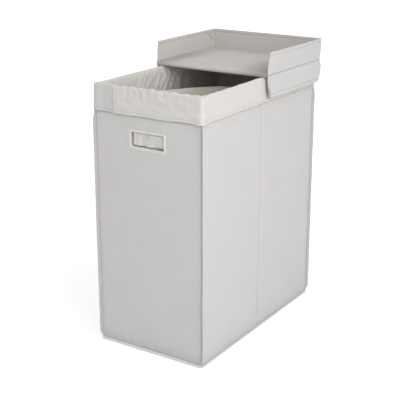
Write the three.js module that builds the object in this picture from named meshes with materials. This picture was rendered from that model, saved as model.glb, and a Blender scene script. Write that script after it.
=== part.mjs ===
// Laundry hamper with two bins, in millimetres, +Z up.
// The origin is on the floor under the middle of the body: +X is to the right, +Y to the back.
// A box of cloth-covered boards stands on the floor. A cotton bag with a divider hangs in it, its
// cuff folded over the rim. A two-part lid lies on top, with its front half folded back.

import * as THREE from 'three';

// Sizes of the body
const bodyWidth = 335;
const bodyLength = 605;
const rimHeight = 740;

// Layers of a wall, from the outside in, with the play that sewing leaves between two layers
const coverCloth = 1;
const wallBoard = 2.5;
const liningCloth = 0.5;
const layerGap = 0.3;
const boardDepth = coverCloth + layerGap;
const liningDepth = boardDepth + wallBoard + layerGap;
const wallThickness = liningDepth + liningCloth;

// Base: sewn cloth on the floor, and a loose board on it
const floorCloth = 1.2;
const baseBoard = 3;
const baseBoardClearance = 5;
const wallFoot = floorCloth + layerGap;
const baseBoardTop = wallFoot + baseBoard;

// Fold line down the middle of each side wall
const boardFoldGap = 8;
const foldGrooveWidth = 3;
const foldGrooveDepth = 0.5;

// Upright corner seams, sewn as fins that point out at 45 degrees
const seamReach = 9;
const seamThickness = 2;
const seamFoot = 20;
const seamTaper = 45;
const seamTopReach = 3;
const seamTopClearance = 2;

// Seam round the base, a fin that slopes down and out
const baseSeamReach = 6.5;
const baseSeamThickness = 2.4;
const baseSeamLift = 0.3;
const baseSeamTop = baseSeamLift + baseSeamThickness + baseSeamReach;

// Hand slots in the front and back walls, each in a two-part plastic frame
const slotWidth = 105;
const slotHeight = 40;
const slotBelowRim = 136;
const slotCorner = 3;
const frameBorder = 7;
const frameFlange = 2;
const frameLip = 1.5;
const frameBeadWidth = 3;
const frameBeadRise = 0.7;
const frameBevel = 0.8;
const cornerGrowthShare = 0.4;
const cornerSteps = 5;
const slotCentreHeight = rimHeight - slotBelowRim;

// Liner bag with two bins
const linerCloth = 1.2;
const linerStandoff = 6;
const cuffDrop = 70;
const cuffStandoff = 4;
const linerDepth = wallThickness + linerStandoff;
const linerInnerDepth = linerDepth + linerCloth;
const cuffUnderside = rimHeight - linerCloth;
const wallTop = cuffUnderside - layerGap;
const linerBaseFoot = baseBoardTop + layerGap;
const linerWallFoot = linerBaseFoot + linerCloth + layerGap;

// Divider between the bins: slack cloth whose top edge hangs towards the back
const dividerBelowRim = 63;
const dividerLeftShift = -72;
const dividerRightShift = -40;
const dividerSlack = 150;
const dividerSagPower = 1.2;
const dividerColumns = 18;
const dividerRows = 7;
const dividerTop = rimHeight - dividerBelowRim;

// Lid: two equal halves, each a board with a skirt on three sides
const lidCover = 1;
const lidBoard = 2.5;
const lidLining = 0.5;
const lidSideOverhang = 16;
const lidEndOverhang = 12;
const lidSeat = 0.3;
const skirtHeight = 62;
const skirtCloth = 0.8;
const skirtBoard = 1.5;
const hemHeight = 9;
const foldFaceGap = 0.3;
const foldEdgeOffset = 2;
const foldStripClearance = 0.4;
const foldStripSides = 12;
const lidHalfWidth = bodyWidth / 2 + lidSideOverhang;
const lidHalfLength = bodyLength / 2 + lidEndOverhang;
const skirtThickness = 2 * skirtCloth + 2 * layerGap + skirtBoard;
const lidThickness = lidCover + lidBoard + lidLining + 2 * layerGap;
const foldAxisHeight = rimHeight + lidSeat + lidThickness + foldFaceGap / 2;

// Colours, roughness and metalness of what each piece is made of
function finish(color, roughness) {
  return new THREE.MeshStandardMaterial({ color, roughness, metalness: 0 });
}
const outerClothFinish = finish(0xd2cfcd, 0.9);
const liningFinish = finish(0xc4c1bd, 0.92);
const boardFinish = finish(0x9c8a70, 0.95);
const linerFinish = finish(0xe4e1da, 0.9);
const plasticFinish = finish(0xdcdbd9, 0.45);

// Adds one named piece to a group
function addPiece(group, name, geometry, material) {
  const mesh = new THREE.Mesh(geometry, material);
  mesh.name = name;
  group.add(mesh);
}

// A box between two opposite corners
function boxBetween(low, high) {
  const size = low.map((start, axis) => high[axis] - start);
  const centre = low.map((start, axis) => (start + high[axis]) / 2);
  const geometry = new THREE.BoxGeometry(...size);
  geometry.translate(...centre);
  return geometry;
}

// A closed outline from points in a plane
function outlineShape(points) {
  return new THREE.Shape(points.map(([across, up]) => new THREE.Vector2(across, up)));
}

// A prism: the outline's two axes and the way it is extruded become the three given directions
function prism(shape, depth, acrossAxis, upAxis, depthAxis) {
  const geometry = new THREE.ExtrudeGeometry(shape, { depth, bevelEnabled: false, curveSegments: 1 });
  const directions = new THREE.Matrix4().makeBasis(acrossAxis, upAxis, depthAxis);
  geometry.applyMatrix4(directions);
  return geometry;
}
const outward = new THREE.Vector3(1, 0, 0);
const along = new THREE.Vector3(0, 1, 0);
const upward = new THREE.Vector3(0, 0, 1);
const backAlong = new THREE.Vector3(0, -1, 0);

// A strip along one wall, mitred at both ends. Its section is a list of [outward, height] points,
// counted from the outer face of the wall.
function mitredStrip(section, wall) {
  const geometry = prism(outlineShape(section), 1, outward, upward, backAlong);
  const places = geometry.getAttribute('position');
  for (let index = 0; index < places.count; index += 1) {
    const reach = places.getX(index);
    const end = wall.run + reach - layerGap / 2;
    const whichEnd = 1 + 2 * places.getY(index);
    places.setXYZ(index, wall.reach + reach, whichEnd * end, places.getZ(index));
  }
  return geometry;
}

// Points round a rectangle with round corners, larger than the hand slot by the same amount all round
function slotOutline(growth) {
  const corner = slotCorner + cornerGrowthShare * growth;
  const acrossCentre = slotWidth / 2 + growth - corner;
  const upCentre = slotHeight / 2 + growth - corner;
  const quarters = [[1, 1], [-1, 1], [-1, -1], [1, -1]];
  const points = [];
  quarters.forEach(([acrossSign, upSign], quarter) => {
    for (let step = 0; step <= cornerSteps; step += 1) {
      const angle = (quarter + step / cornerSteps) * Math.PI / 2;
      const across = acrossSign * acrossCentre + corner * Math.cos(angle);
      const up = slotCentreHeight + upSign * upCentre + corner * Math.sin(angle);
      points.push([across, up]);
    }
  });
  return points;
}

// A frame round the hand slot: a closed section of [growth, outward] points swept round the slot
function slotFrame(section, wall) {
  const loops = section.map(([growth, reach]) => slotOutline(growth).map(
    ([across, up]) => [wall.reach + reach, across, up],
  ));
  const turns = loops[0].length;
  const indices = [];
  for (let row = 0; row < loops.length; row += 1) {
    const nextRow = (row + 1) % loops.length;
    for (let turn = 0; turn < turns; turn += 1) {
      const nextTurn = (turn + 1) % turns;
      const here = row * turns + turn;
      const ahead = row * turns + nextTurn;
      const beside = nextRow * turns + turn;
      const opposite = nextRow * turns + nextTurn;
      indices.push(here, beside, opposite, here, opposite, ahead);
    }
  }
  const geometry = new THREE.BufferGeometry();
  geometry.setAttribute('position', new THREE.Float32BufferAttribute(loops.flat(2), 3));
  geometry.setIndex(indices);
  return geometry;
}

// A sheet of even thickness. Its face is a grid of rows of points, seen with the columns running to the
// right and the rows running up, and its other face lies behind it by the given shift.
function thickSheet(rows, shift) {
  const columns = rows[0].length;
  const face = rows.flat();
  const behind = face.map((point) => point.map((value, axis) => value + shift[axis]));
  const indices = [];
  const addFacing = (first, second, third) => {
    indices.push(first, second, third);
    indices.push(face.length + first, face.length + third, face.length + second);
  };
  const lastRow = (rows.length - 1) * columns;
  const border = [];
  for (let column = 0; column + 1 < columns; column += 1) {
    for (let here = column; here < lastRow; here += columns) {
      addFacing(here, here + 1, here + 1 + columns);
      addFacing(here, here + 1 + columns, here + columns);
    }
    border.push([column, column + 1]);
    border.push([lastRow + column + 1, lastRow + column]);
  }
  for (let row = 0; row + 1 < rows.length; row += 1) {
    const left = row * columns;
    const right = left + columns - 1;
    border.push([right, right + columns]);
    border.push([left + columns, left]);
  }
  for (const [from, to] of border) {
    indices.push(to, from, face.length + from);
    indices.push(to, face.length + from, face.length + to);
  }
  const geometry = new THREE.BufferGeometry();
  const places = [...face, ...behind].flat();
  geometry.setAttribute('position', new THREE.Float32BufferAttribute(places, 3));
  geometry.setIndex(indices);
  return geometry;
}

// The four walls: each faces +X in its own turned group, reach is the distance to its outer face,
// run is half its length, and an owner wall runs through to the corners
const walls = [
  { side: 'right', turn: 0, reach: bodyWidth / 2, run: bodyLength / 2, owner: false },
  { side: 'back', turn: Math.PI / 2, reach: bodyLength / 2, run: bodyWidth / 2, owner: true },
  { side: 'left', turn: Math.PI, reach: bodyWidth / 2, run: bodyLength / 2, owner: false },
  { side: 'front', turn: -Math.PI / 2, reach: bodyLength / 2, run: bodyWidth / 2, owner: true },
];

// Half the length of a layer that lies so deep in a wall
function layerRun(wall, depth, thickness) {
  const yielded = wall.owner ? 0 : thickness + layerGap;
  return wall.run - depth - yielded;
}

// A plain layer of a side wall, or one part of it along the wall
function plainLayer(wall, depth, thickness, start, end) {
  const outerFace = wall.reach - depth;
  return boxBetween([outerFace - thickness, start, wallFoot], [outerFace, end, wallTop]);
}

// A layer of an end wall, cut out round the hand slot
function slottedLayer(wall, depth, thickness) {
  const run = layerRun(wall, depth, thickness);
  const shape = outlineShape([[-run, wallFoot], [run, wallFoot], [run, wallTop], [-run, wallTop]]);
  const cutOut = slotOutline(frameLip + layerGap).map(([across, up]) => new THREE.Vector2(across, up));
  shape.holes.push(new THREE.Path(cutOut));
  const geometry = prism(shape, thickness, along, upward, outward);
  geometry.translate(wall.reach - depth - thickness, 0, 0);
  return geometry;
}

// The outer cloth of a side wall, with a stitched groove down the fold line
function groovedCover(wall) {
  const run = layerRun(wall, 0, coverCloth);
  const inner = wall.reach - coverCloth;
  const half = foldGrooveWidth / 2;
  const outline = [
    [inner, -run],
    [wall.reach, -run],
    [wall.reach, -half],
    [wall.reach - foldGrooveDepth, 0],
    [wall.reach, half],
    [wall.reach, run],
    [inner, run],
  ];
  const geometry = prism(outlineShape(outline), wallTop - wallFoot, outward, along, upward);
  geometry.translate(0, 0, wallFoot);
  return geometry;
}

// A side wall: cover, lining, and two boards that leave room for the fold
function addSideWall(group, wall) {
  const boardRun = layerRun(wall, boardDepth, wallBoard);
  const liningRun = layerRun(wall, liningDepth, liningCloth);
  const halfGap = boardFoldGap / 2;
  const lowPart = plainLayer(wall, boardDepth, wallBoard, -boardRun, -halfGap);
  const highPart = plainLayer(wall, boardDepth, wallBoard, halfGap, boardRun);
  const lowName = wall.side === 'right' ? 'front' : 'rear';
  const highName = wall.side === 'right' ? 'rear' : 'front';
  addPiece(group, `${wall.side}_cover`, groovedCover(wall), outerClothFinish);
  addPiece(group, `${wall.side}_${lowName}_board`, lowPart, boardFinish);
  addPiece(group, `${wall.side}_${highName}_board`, highPart, boardFinish);
  const lining = plainLayer(wall, liningDepth, liningCloth, -liningRun, liningRun);
  addPiece(group, `${wall.side}_lining`, lining, liningFinish);
}

// An end wall: cover, board and lining round the hand slot, and the two halves of the slot's frame
function addEndWall(group, wall) {
  addPiece(group, `${wall.side}_cover`, slottedLayer(wall, 0, coverCloth), outerClothFinish);
  addPiece(group, `${wall.side}_board`, slottedLayer(wall, boardDepth, wallBoard), boardFinish);
  addPiece(group, `${wall.side}_lining`, slottedLayer(wall, liningDepth, liningCloth), liningFinish);
  const innerSeat = -wallThickness - layerGap;
  const outerFlangeFace = layerGap + frameFlange;
  const outerSection = [
    [0, outerFlangeFace],
    [frameBeadWidth / 2, outerFlangeFace + frameBeadRise],
    [frameBeadWidth, outerFlangeFace],
    [frameBorder - frameBevel, outerFlangeFace - frameBevel],
    [frameBorder, layerGap],
    [frameLip, layerGap],
    [frameLip, innerSeat - frameFlange],
    [0, innerSeat - frameFlange],
  ];
  const innerSection = [
    [frameLip + layerGap, innerSeat],
    [frameBorder, innerSeat],
    [frameBorder, innerSeat - frameFlange + frameBevel],
    [frameBorder - frameBevel, innerSeat - frameFlange],
    [frameLip + layerGap, innerSeat - frameFlange],
  ];
  addPiece(group, `${wall.side}_handle_frame`, slotFrame(outerSection, wall), plasticFinish);
  addPiece(group, `${wall.side}_handle_backing`, slotFrame(innerSection, wall), plasticFinish);
}

// The fin of the seam that joins a wall's foot to the base
function baseSeam(wall) {
  const tip = layerGap + baseSeamReach;
  const section = [
    [layerGap, baseSeamTop],
    [layerGap, baseSeamTop - baseSeamThickness],
    [tip, baseSeamLift],
    [tip, baseSeamLift + baseSeamThickness],
  ];
  return mitredStrip(section, wall);
}

// The fin of an upright corner seam, tucked in under the cuff at its top
function cornerSeam() {
  const top = rimHeight - cuffDrop - seamTopClearance;
  const outline = [
    [layerGap, seamFoot],
    [layerGap + seamReach, seamFoot],
    [layerGap + seamReach, top - seamTaper],
    [layerGap + seamTopReach, top],
    [layerGap, top],
  ];
  const geometry = prism(outlineShape(outline), seamThickness, outward, upward, backAlong);
  geometry.translate(0, seamThickness / 2, 0);
  return geometry;
}

// The four corner seams, each in a group turned to point away from the middle
function addCornerSeams(group) {
  const corners = [
    { name: 'back_right_seam', x: 1, y: 1, turn: Math.PI / 4 },
    { name: 'back_left_seam', x: -1, y: 1, turn: 3 * Math.PI / 4 },
    { name: 'front_left_seam', x: -1, y: -1, turn: -3 * Math.PI / 4 },
    { name: 'front_right_seam', x: 1, y: -1, turn: -Math.PI / 4 },
  ];
  for (const corner of corners) {
    const place = new THREE.Group();
    place.position.set(corner.x * bodyWidth / 2, corner.y * bodyLength / 2, 0);
    place.rotation.z = corner.turn;
    addPiece(place, corner.name, cornerSeam(), outerClothFinish);
    group.add(place);
  }
}

// One flat sheet across the whole box, so deep inside its outer faces
function levelSheet(depth, foot, thickness) {
  const halfWidth = bodyWidth / 2 - depth;
  const halfLength = bodyLength / 2 - depth;
  return boxBetween([-halfWidth, -halfLength, foot], [halfWidth, halfLength, foot + thickness]);
}

// The box: walls, seams and sewn base
function makeBody() {
  const body = new THREE.Group();
  for (const wall of walls) {
    const place = new THREE.Group();
    place.rotation.z = wall.turn;
    const addWall = wall.owner ? addEndWall : addSideWall;
    addWall(place, wall);
    addPiece(place, `${wall.side}_base_seam`, baseSeam(wall), outerClothFinish);
    body.add(place);
  }
  addCornerSeams(body);
  addPiece(body, 'base_cloth', levelSheet(0, 0, floorCloth), outerClothFinish);
  return body;
}

// The cuff of the liner along one wall: over the rim and down the outside
function cuff(wall) {
  const section = [
    [-linerInnerDepth, rimHeight],
    [-linerInnerDepth, cuffUnderside],
    [cuffStandoff, cuffUnderside],
    [cuffStandoff, rimHeight - cuffDrop],
    [cuffStandoff + linerCloth, rimHeight - cuffDrop],
    [cuffStandoff + linerCloth, rimHeight],
  ];
  return mitredStrip(section, wall);
}

// The cloth of the liner inside one wall
function linerPanel(wall) {
  const run = layerRun(wall, linerDepth, linerCloth);
  const outerFace = wall.reach - linerDepth;
  return boxBetween([outerFace - linerCloth, -run, linerWallFoot], [outerFace, run, wallTop]);
}

// The divider: straight where it is sewn to the base, slack and bowed to the back at its top edge
function divider() {
  const halfSpan = bodyWidth / 2 - linerInnerDepth - layerGap;
  const rows = [];
  for (let row = 0; row <= dividerRows; row += 1) {
    const rise = row / dividerRows;
    const height = linerWallFoot + (dividerTop - linerWallFoot) * rise;
    const looseness = Math.sin(rise * Math.PI / 2);
    const points = [];
    for (let column = 0; column <= dividerColumns; column += 1) {
      const share = column / dividerColumns;
      const across = halfSpan * (2 * share - 1);
      const shift = dividerLeftShift + (dividerRightShift - dividerLeftShift) * share;
      const sag = dividerSlack * Math.sin(share * Math.PI) ** dividerSagPower;
      points.push([across, looseness * (shift + sag), height]);
    }
    rows.push(points);
  }
  return thickSheet(rows, [0, linerCloth, 0]);
}

// The removable liner
function makeLiner() {
  const liner = new THREE.Group();
  for (const wall of walls) {
    const place = new THREE.Group();
    place.rotation.z = wall.turn;
    addPiece(place, `liner_${wall.side}_panel`, linerPanel(wall), linerFinish);
    addPiece(place, `liner_${wall.side}_cuff`, cuff(wall), linerFinish);
    liner.add(place);
  }
  addPiece(liner, 'liner_base', levelSheet(linerDepth, linerBaseFoot, linerCloth), linerFinish);
  addPiece(liner, 'liner_divider', divider(), linerFinish);
  return liner;
}

// A skirt's cloth, a sleeve that is open at its root and closed by the hem at its free edge.
// It is drawn from 0 at its outer face inwards, and runs along from start to end.
function skirtSleeve(start, end, root) {
  const free = -skirtHeight;
  const outline = [
    [0, root],
    [-skirtCloth, root],
    [-skirtCloth, free + hemHeight],
    [skirtCloth - skirtThickness, free + hemHeight],
    [skirtCloth - skirtThickness, root],
    [-skirtThickness, root],
    [-skirtThickness, free],
    [0, free],
  ];
  const geometry = prism(outlineShape(outline), end - start, outward, upward, backAlong);
  geometry.translate(0, end, 0);
  return geometry;
}

// The stiffener inside a skirt's sleeve
function skirtStiffener(start, end, root) {
  const outerFace = -skirtCloth - layerGap;
  const foot = hemHeight + layerGap - skirtHeight;
  return boxBetween([outerFace - skirtBoard, start, foot], [outerFace, end, root]);
}

// One half of the lid, closed over +Y: its top face is just under 0, and it starts past the fold
function makeLidHalf(name, plusSide, minusSide) {
  const half = new THREE.Group();
  const top = -foldFaceGap / 2;
  const coverFoot = top - lidCover;
  const boardTop = coverFoot - layerGap;
  const liningTop = boardTop - lidBoard - layerGap;
  const innerWidth = lidHalfWidth - skirtThickness - layerGap;
  const innerLength = lidHalfLength - skirtThickness - layerGap;
  const sheet = (width, start, end, high, thickness) => boxBetween(
    [-width, start, high - thickness],
    [width, end, high],
  );
  const cover = sheet(lidHalfWidth, foldEdgeOffset, lidHalfLength, top, lidCover);
  const board = sheet(innerWidth, foldEdgeOffset, innerLength, boardTop, lidBoard);
  const lining = sheet(innerWidth, foldEdgeOffset, innerLength, liningTop, lidLining);
  addPiece(half, `${name}_lid_cover`, cover, outerClothFinish);
  addPiece(half, `${name}_lid_board`, board, boardFinish);
  addPiece(half, `${name}_lid_lining`, lining, liningFinish);
  const skirts = [
    { side: plusSide, turn: 0, reach: lidHalfWidth, start: foldEdgeOffset, end: innerLength },
    { side: 'end', turn: Math.PI / 2, reach: lidHalfLength, start: -lidHalfWidth, end: lidHalfWidth },
    { side: minusSide, turn: Math.PI, reach: lidHalfWidth, start: -innerLength, end: -foldEdgeOffset },
  ];
  for (const skirt of skirts) {
    const turned = new THREE.Group();
    turned.rotation.z = skirt.turn;
    const place = new THREE.Group();
    place.position.x = skirt.reach;
    turned.add(place);
    const sleeve = skirtSleeve(skirt.start, skirt.end, boardTop);
    const stiffener = skirtStiffener(skirt.start + layerGap, skirt.end - layerGap, boardTop);
    addPiece(place, `${name}_lid_${skirt.side}_skirt`, sleeve, outerClothFinish);
    addPiece(place, `${name}_lid_${skirt.side}_stiffener`, stiffener, boardFinish);
    half.add(turned);
  }
  return half;
}

// The strip of cloth that joins the two halves along the fold
function foldStrip() {
  const radius = foldEdgeOffset - foldStripClearance;
  const geometry = new THREE.CylinderGeometry(radius, radius, 2 * lidHalfWidth, foldStripSides);
  geometry.rotateZ(Math.PI / 2);
  return geometry;
}

// The lid: the rear half lies over the rear bin, and the front half lies upside down on it
function makeLid() {
  const lid = new THREE.Group();
  lid.position.z = foldAxisHeight;
  addPiece(lid, 'lid_fold_strip', foldStrip(), outerClothFinish);
  lid.add(makeLidHalf('rear', 'right', 'left'));
  const foldedBack = makeLidHalf('front', 'left', 'right');
  foldedBack.rotation.y = Math.PI;
  lid.add(foldedBack);
  return lid;
}

const hamper = new THREE.Group();
hamper.add(makeBody());
const looseBase = levelSheet(wallThickness + baseBoardClearance, wallFoot, baseBoard);
addPiece(hamper, 'base_board', looseBase, boardFinish);
hamper.add(makeLiner());
hamper.add(makeLid());

export default hamper;
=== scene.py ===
# %% [markdown]
# A laundry hamper with two bins, dressed in cloth
#
# The CAD model gives the size, the place and the motion of each part of the hamper. This lesson
# sews the visible cloth around it in Blender: outer cloth, seams, a cotton liner and a folding lid.
# Lengths inside the lesson are in millimetres, because a maker thinks in them, and are turned into
# Blender's metres when a mesh is made.

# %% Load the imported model
import math

import bpy
import numpy as np
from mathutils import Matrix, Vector


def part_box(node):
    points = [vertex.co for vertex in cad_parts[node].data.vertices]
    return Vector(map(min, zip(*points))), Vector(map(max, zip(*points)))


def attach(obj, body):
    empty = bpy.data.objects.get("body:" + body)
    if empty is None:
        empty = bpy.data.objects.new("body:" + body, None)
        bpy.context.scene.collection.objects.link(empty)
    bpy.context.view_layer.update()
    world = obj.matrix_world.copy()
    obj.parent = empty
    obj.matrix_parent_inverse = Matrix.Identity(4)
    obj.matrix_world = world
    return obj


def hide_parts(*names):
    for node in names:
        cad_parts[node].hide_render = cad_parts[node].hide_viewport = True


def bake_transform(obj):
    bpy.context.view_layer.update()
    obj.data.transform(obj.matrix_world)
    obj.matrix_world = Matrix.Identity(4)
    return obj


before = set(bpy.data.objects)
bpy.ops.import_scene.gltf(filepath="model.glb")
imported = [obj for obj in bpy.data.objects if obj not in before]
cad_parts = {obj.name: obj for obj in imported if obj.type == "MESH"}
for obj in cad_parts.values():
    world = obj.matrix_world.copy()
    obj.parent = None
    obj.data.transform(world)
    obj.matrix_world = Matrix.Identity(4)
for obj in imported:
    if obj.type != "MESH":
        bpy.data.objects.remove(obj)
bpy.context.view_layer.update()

# %% [markdown]
# The hamper in numbers
#
# The main sizes aren't written down a second time. Each is read from the CAD node that carries it, so
# the cloth follows when the model changes a little. A node's box gives its lowest and highest corner.

# %% Read the main sizes from the CAD nodes
MM = 0.001


def box_mm(node):
    """The lowest and highest corner of a CAD node, in millimetres."""
    low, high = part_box(node)
    return np.array(low) / MM, np.array(high) / MM


half_width = box_mm("right_cover")[1][0]
half_length = box_mm("back_cover")[1][1]
rim_height = box_mm("front_board")[1][2]
wall_depth = half_width - box_mm("right_lining")[0][0]
cuff_low, cuff_high = box_mm("liner_front_cuff")
cuff_hem_height = cuff_low[2]
cuff_top = cuff_high[2]
lid_half_width, lid_half_length, _ = box_mm("rear_lid_cover")[1]
strip_low, strip_high = box_mm("lid_fold_strip")
fold_height = (strip_low[2] + strip_high[2]) / 2
print("body", round(2 * half_width), "x", round(2 * half_length), "rim at", round(rim_height, 1))
print("fold of the lid at", round(fold_height, 2))

# %% [markdown]
# The camera
#
# The photograph looks down at the front wall's right corner. A long lens from about three metres away
# gives nearly parallel upright edges. The lens isn't shifted, so the same camera works from any side.

# %% Place the camera
PHOTO_PIXELS = 400
FOCAL_PIXELS = 951
SENSOR_WIDTH = 36
camera_place = Vector((1409, -2223, 1227)) * MM
camera_heading = math.radians(33.0)
camera_dip = math.radians(18.2)

camera_data = bpy.data.cameras.new("photo_camera")
camera_data.sensor_width = SENSOR_WIDTH
camera_data.lens = FOCAL_PIXELS / PHOTO_PIXELS * SENSOR_WIDTH
camera = bpy.data.objects.new("photo_camera", camera_data)
bpy.context.scene.collection.objects.link(camera)
looking = Vector((
    -math.sin(camera_heading) * math.cos(camera_dip),
    math.cos(camera_heading) * math.cos(camera_dip),
    -math.sin(camera_dip),
))
camera.location = camera_place
camera.rotation_mode = "QUATERNION"
camera.rotation_quaternion = looking.to_track_quat("-Z", "Y")
bpy.context.scene.camera = camera
print("lens", round(camera_data.lens, 1), "mm")

# %% [markdown]
# Mathematics for cloth
#
# Cloth over a board isn't flat: it swells and dips by fractions of a millimetre. A sum of a few plane
# waves with random headings gives such a surface, and a seed makes it the same on each run.
# Smooth steps and bell curves place single folds exactly.

# %% Define the wave, step and bell helpers
WAVES = 12


def ripple(u, v, wavelength, seed):
    """A smooth random height over (u, v), mostly between -1.5 and 1.5."""
    dice = np.random.default_rng(seed)
    total = np.zeros(np.broadcast(u, v).shape)
    for _ in range(WAVES):
        heading = dice.uniform(0, 2 * math.pi)
        length = wavelength * dice.uniform(0.7, 1.5)
        phase = dice.uniform(0, 2 * math.pi)
        along = u * math.cos(heading) + v * math.sin(heading)
        total = total + np.sin(along * 2 * math.pi / length + phase)
    return total / math.sqrt(WAVES)


def step_between(x, low, high):
    """0 below low, 1 above high, and smooth between them."""
    share = np.clip((x - low) / (high - low), 0, 1)
    return share * share * (3 - 2 * share)


def bell(x, centre, width):
    """1 at the centre, falling away to 0 over about two widths."""
    return np.exp(-(((x - centre) / width) ** 2))


def stations(step, *corners):
    """Places from the first corner to the last, about one step apart, with one on each corner."""
    found = [np.array([corners[0]], float)]
    for low, high in zip(corners, corners[1:]):
        count = max(1, round((high - low) / step))
        found.append(np.linspace(low, high, count + 1)[1:])
    return np.concatenate(found)


def runs(*parts):
    """Stations with several steps in a row. Each part is (step, corner, corner, ...)."""
    found = [stations(*part) for part in parts]
    return np.concatenate([found[0]] + [part[1:] for part in found[1:]])


print("a ripple at one place:", round(float(ripple(10.0, 20.0, 50, 1)), 3))

# %% [markdown]
# From a table of points to a piece of cloth
#
# A sheet of cloth is a table of points, row by row. Its faces are the squares between them. The flat
# coordinates of the cloth, in metres, go into a UV map, so that the weave has the same thread size
# everywhere. Solidify then gives the cloth its thickness, and is applied at once.

# %% Define the tables of points
def grid(across, along):
    """The table that two lists of places span: across, along, and both stacked as flat places."""
    first, second = np.meshgrid(across, along)
    return first, second, np.stack([first, second], axis=-1)


def distances(points):
    """How far each point is along its path, or each row along its table, on the columns' average."""
    legs = np.linalg.norm(np.diff(points, axis=0), axis=-1)
    return np.concatenate([[0], np.cumsum(legs.reshape(len(legs), -1).mean(axis=1))])


print("three points on a line:", distances(np.array([[0, 0, 0], [3, 4, 0], [6, 8, 0]])))

# %% Define the sheet builder
SHARP_TURN = math.radians(50)


def mesh_piece(name, points, faces, flat=None):
    """A smooth mesh object from points in millimetres. flat is one (u, v) for each face corner."""
    mesh = bpy.data.meshes.new(name)
    mesh.from_pydata((np.asarray(points, float) * MM).tolist(), [], faces)
    if flat is not None:
        layer = mesh.uv_layers.new(name="weave")
        layer.uv.foreach_set("vector", (np.asarray(flat, float) * MM).astype(np.float32).ravel())
    mesh.polygons.foreach_set("use_smooth", [True] * len(mesh.polygons))
    mesh.update()
    piece = bpy.data.objects.new(name, mesh)
    bpy.context.scene.collection.objects.link(piece)
    return piece


def sheet_piece(name, points, flat, round_columns=False, round_rows=False, left_out=None, turned=False):
    """A sheet from a table of points, rows x columns x 3, and its flat places, rows x columns x 2.

    A sheet that closes on itself has one more row or column of flat places than of points.
    """
    rows, columns = points.shape[:2]
    index = np.arange(rows * columns).reshape(rows, columns)
    place = np.arange(flat.shape[0] * flat.shape[1]).reshape(flat.shape[:2])
    if round_columns:
        index = np.hstack([index, index[:, :1]])
    if round_rows:
        index = np.vstack([index, index[:1]])

    def squares(table):
        corners = [table[:-1, :-1], table[:-1, 1:], table[1:, 1:], table[1:, :-1]]
        return np.stack(corners, axis=-1).reshape(-1, 4)

    faces = squares(index)
    places = squares(place)
    if left_out is not None:
        kept = ~left_out.reshape(-1)
        faces = faces[kept]
        places = places[kept]
    if turned:
        faces = faces[:, ::-1]
        places = places[:, ::-1]
    corners = flat.reshape(-1, 2)[places.reshape(-1)]
    return mesh_piece(name, points.reshape(-1, 3), faces.tolist(), corners)


def thicken(piece, thickness, side=-1.0):
    """Gives a sheet its thickness in millimetres, for good.

    Side -1 puts it behind the surface, 0 on both sides of it, and 1 in front of it.
    """
    solid = piece.modifiers.new("thickness", "SOLIDIFY")
    solid.thickness = thickness * MM
    solid.offset = side
    solid.use_even_offset = False
    bpy.context.view_layer.update()
    whole = piece.evaluated_get(bpy.context.evaluated_depsgraph_get())
    mesh = bpy.data.meshes.new_from_object(whole)
    piece.modifiers.clear()
    piece.data = mesh
    mesh.polygons.foreach_set("use_smooth", [True] * len(mesh.polygons))
    mesh.set_sharp_from_angle(angle=SHARP_TURN)
    return piece


def set_shade_and_grime(piece, amounts):
    """Stores how much darker each point of a piece is painted, from 0 to 1, before it is thickened; mostly
    painted shade, with some dust and wear.
    """
    layer = piece.data.attributes.new("shade_and_grime", "FLOAT", "POINT")
    amounts = np.clip(np.asarray(amounts, float), 0, 1)
    layer.data.foreach_set("value", amounts.astype(np.float32).ravel())


print("sheet builder ready")

# %% [markdown]
# Materials: how the nodes are joined
#
# Each finish is a small network of nodes. A tiny workbench class keeps the lesson short: it adds a
# node with its settings, and joins sockets. Numbers that are the same all over a surface stay on
# the shader's own sockets. The mesh says, for each point, how much darker a finish is painted there:
# mostly painted shade in seams, folds, corners, recesses and under hems, with some dust and wear.

# %% Define the node workbench
# The share of the brightness that full painted shade and grime take away.
SHADE_AND_GRIME_DEPTH = 0.4


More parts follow.
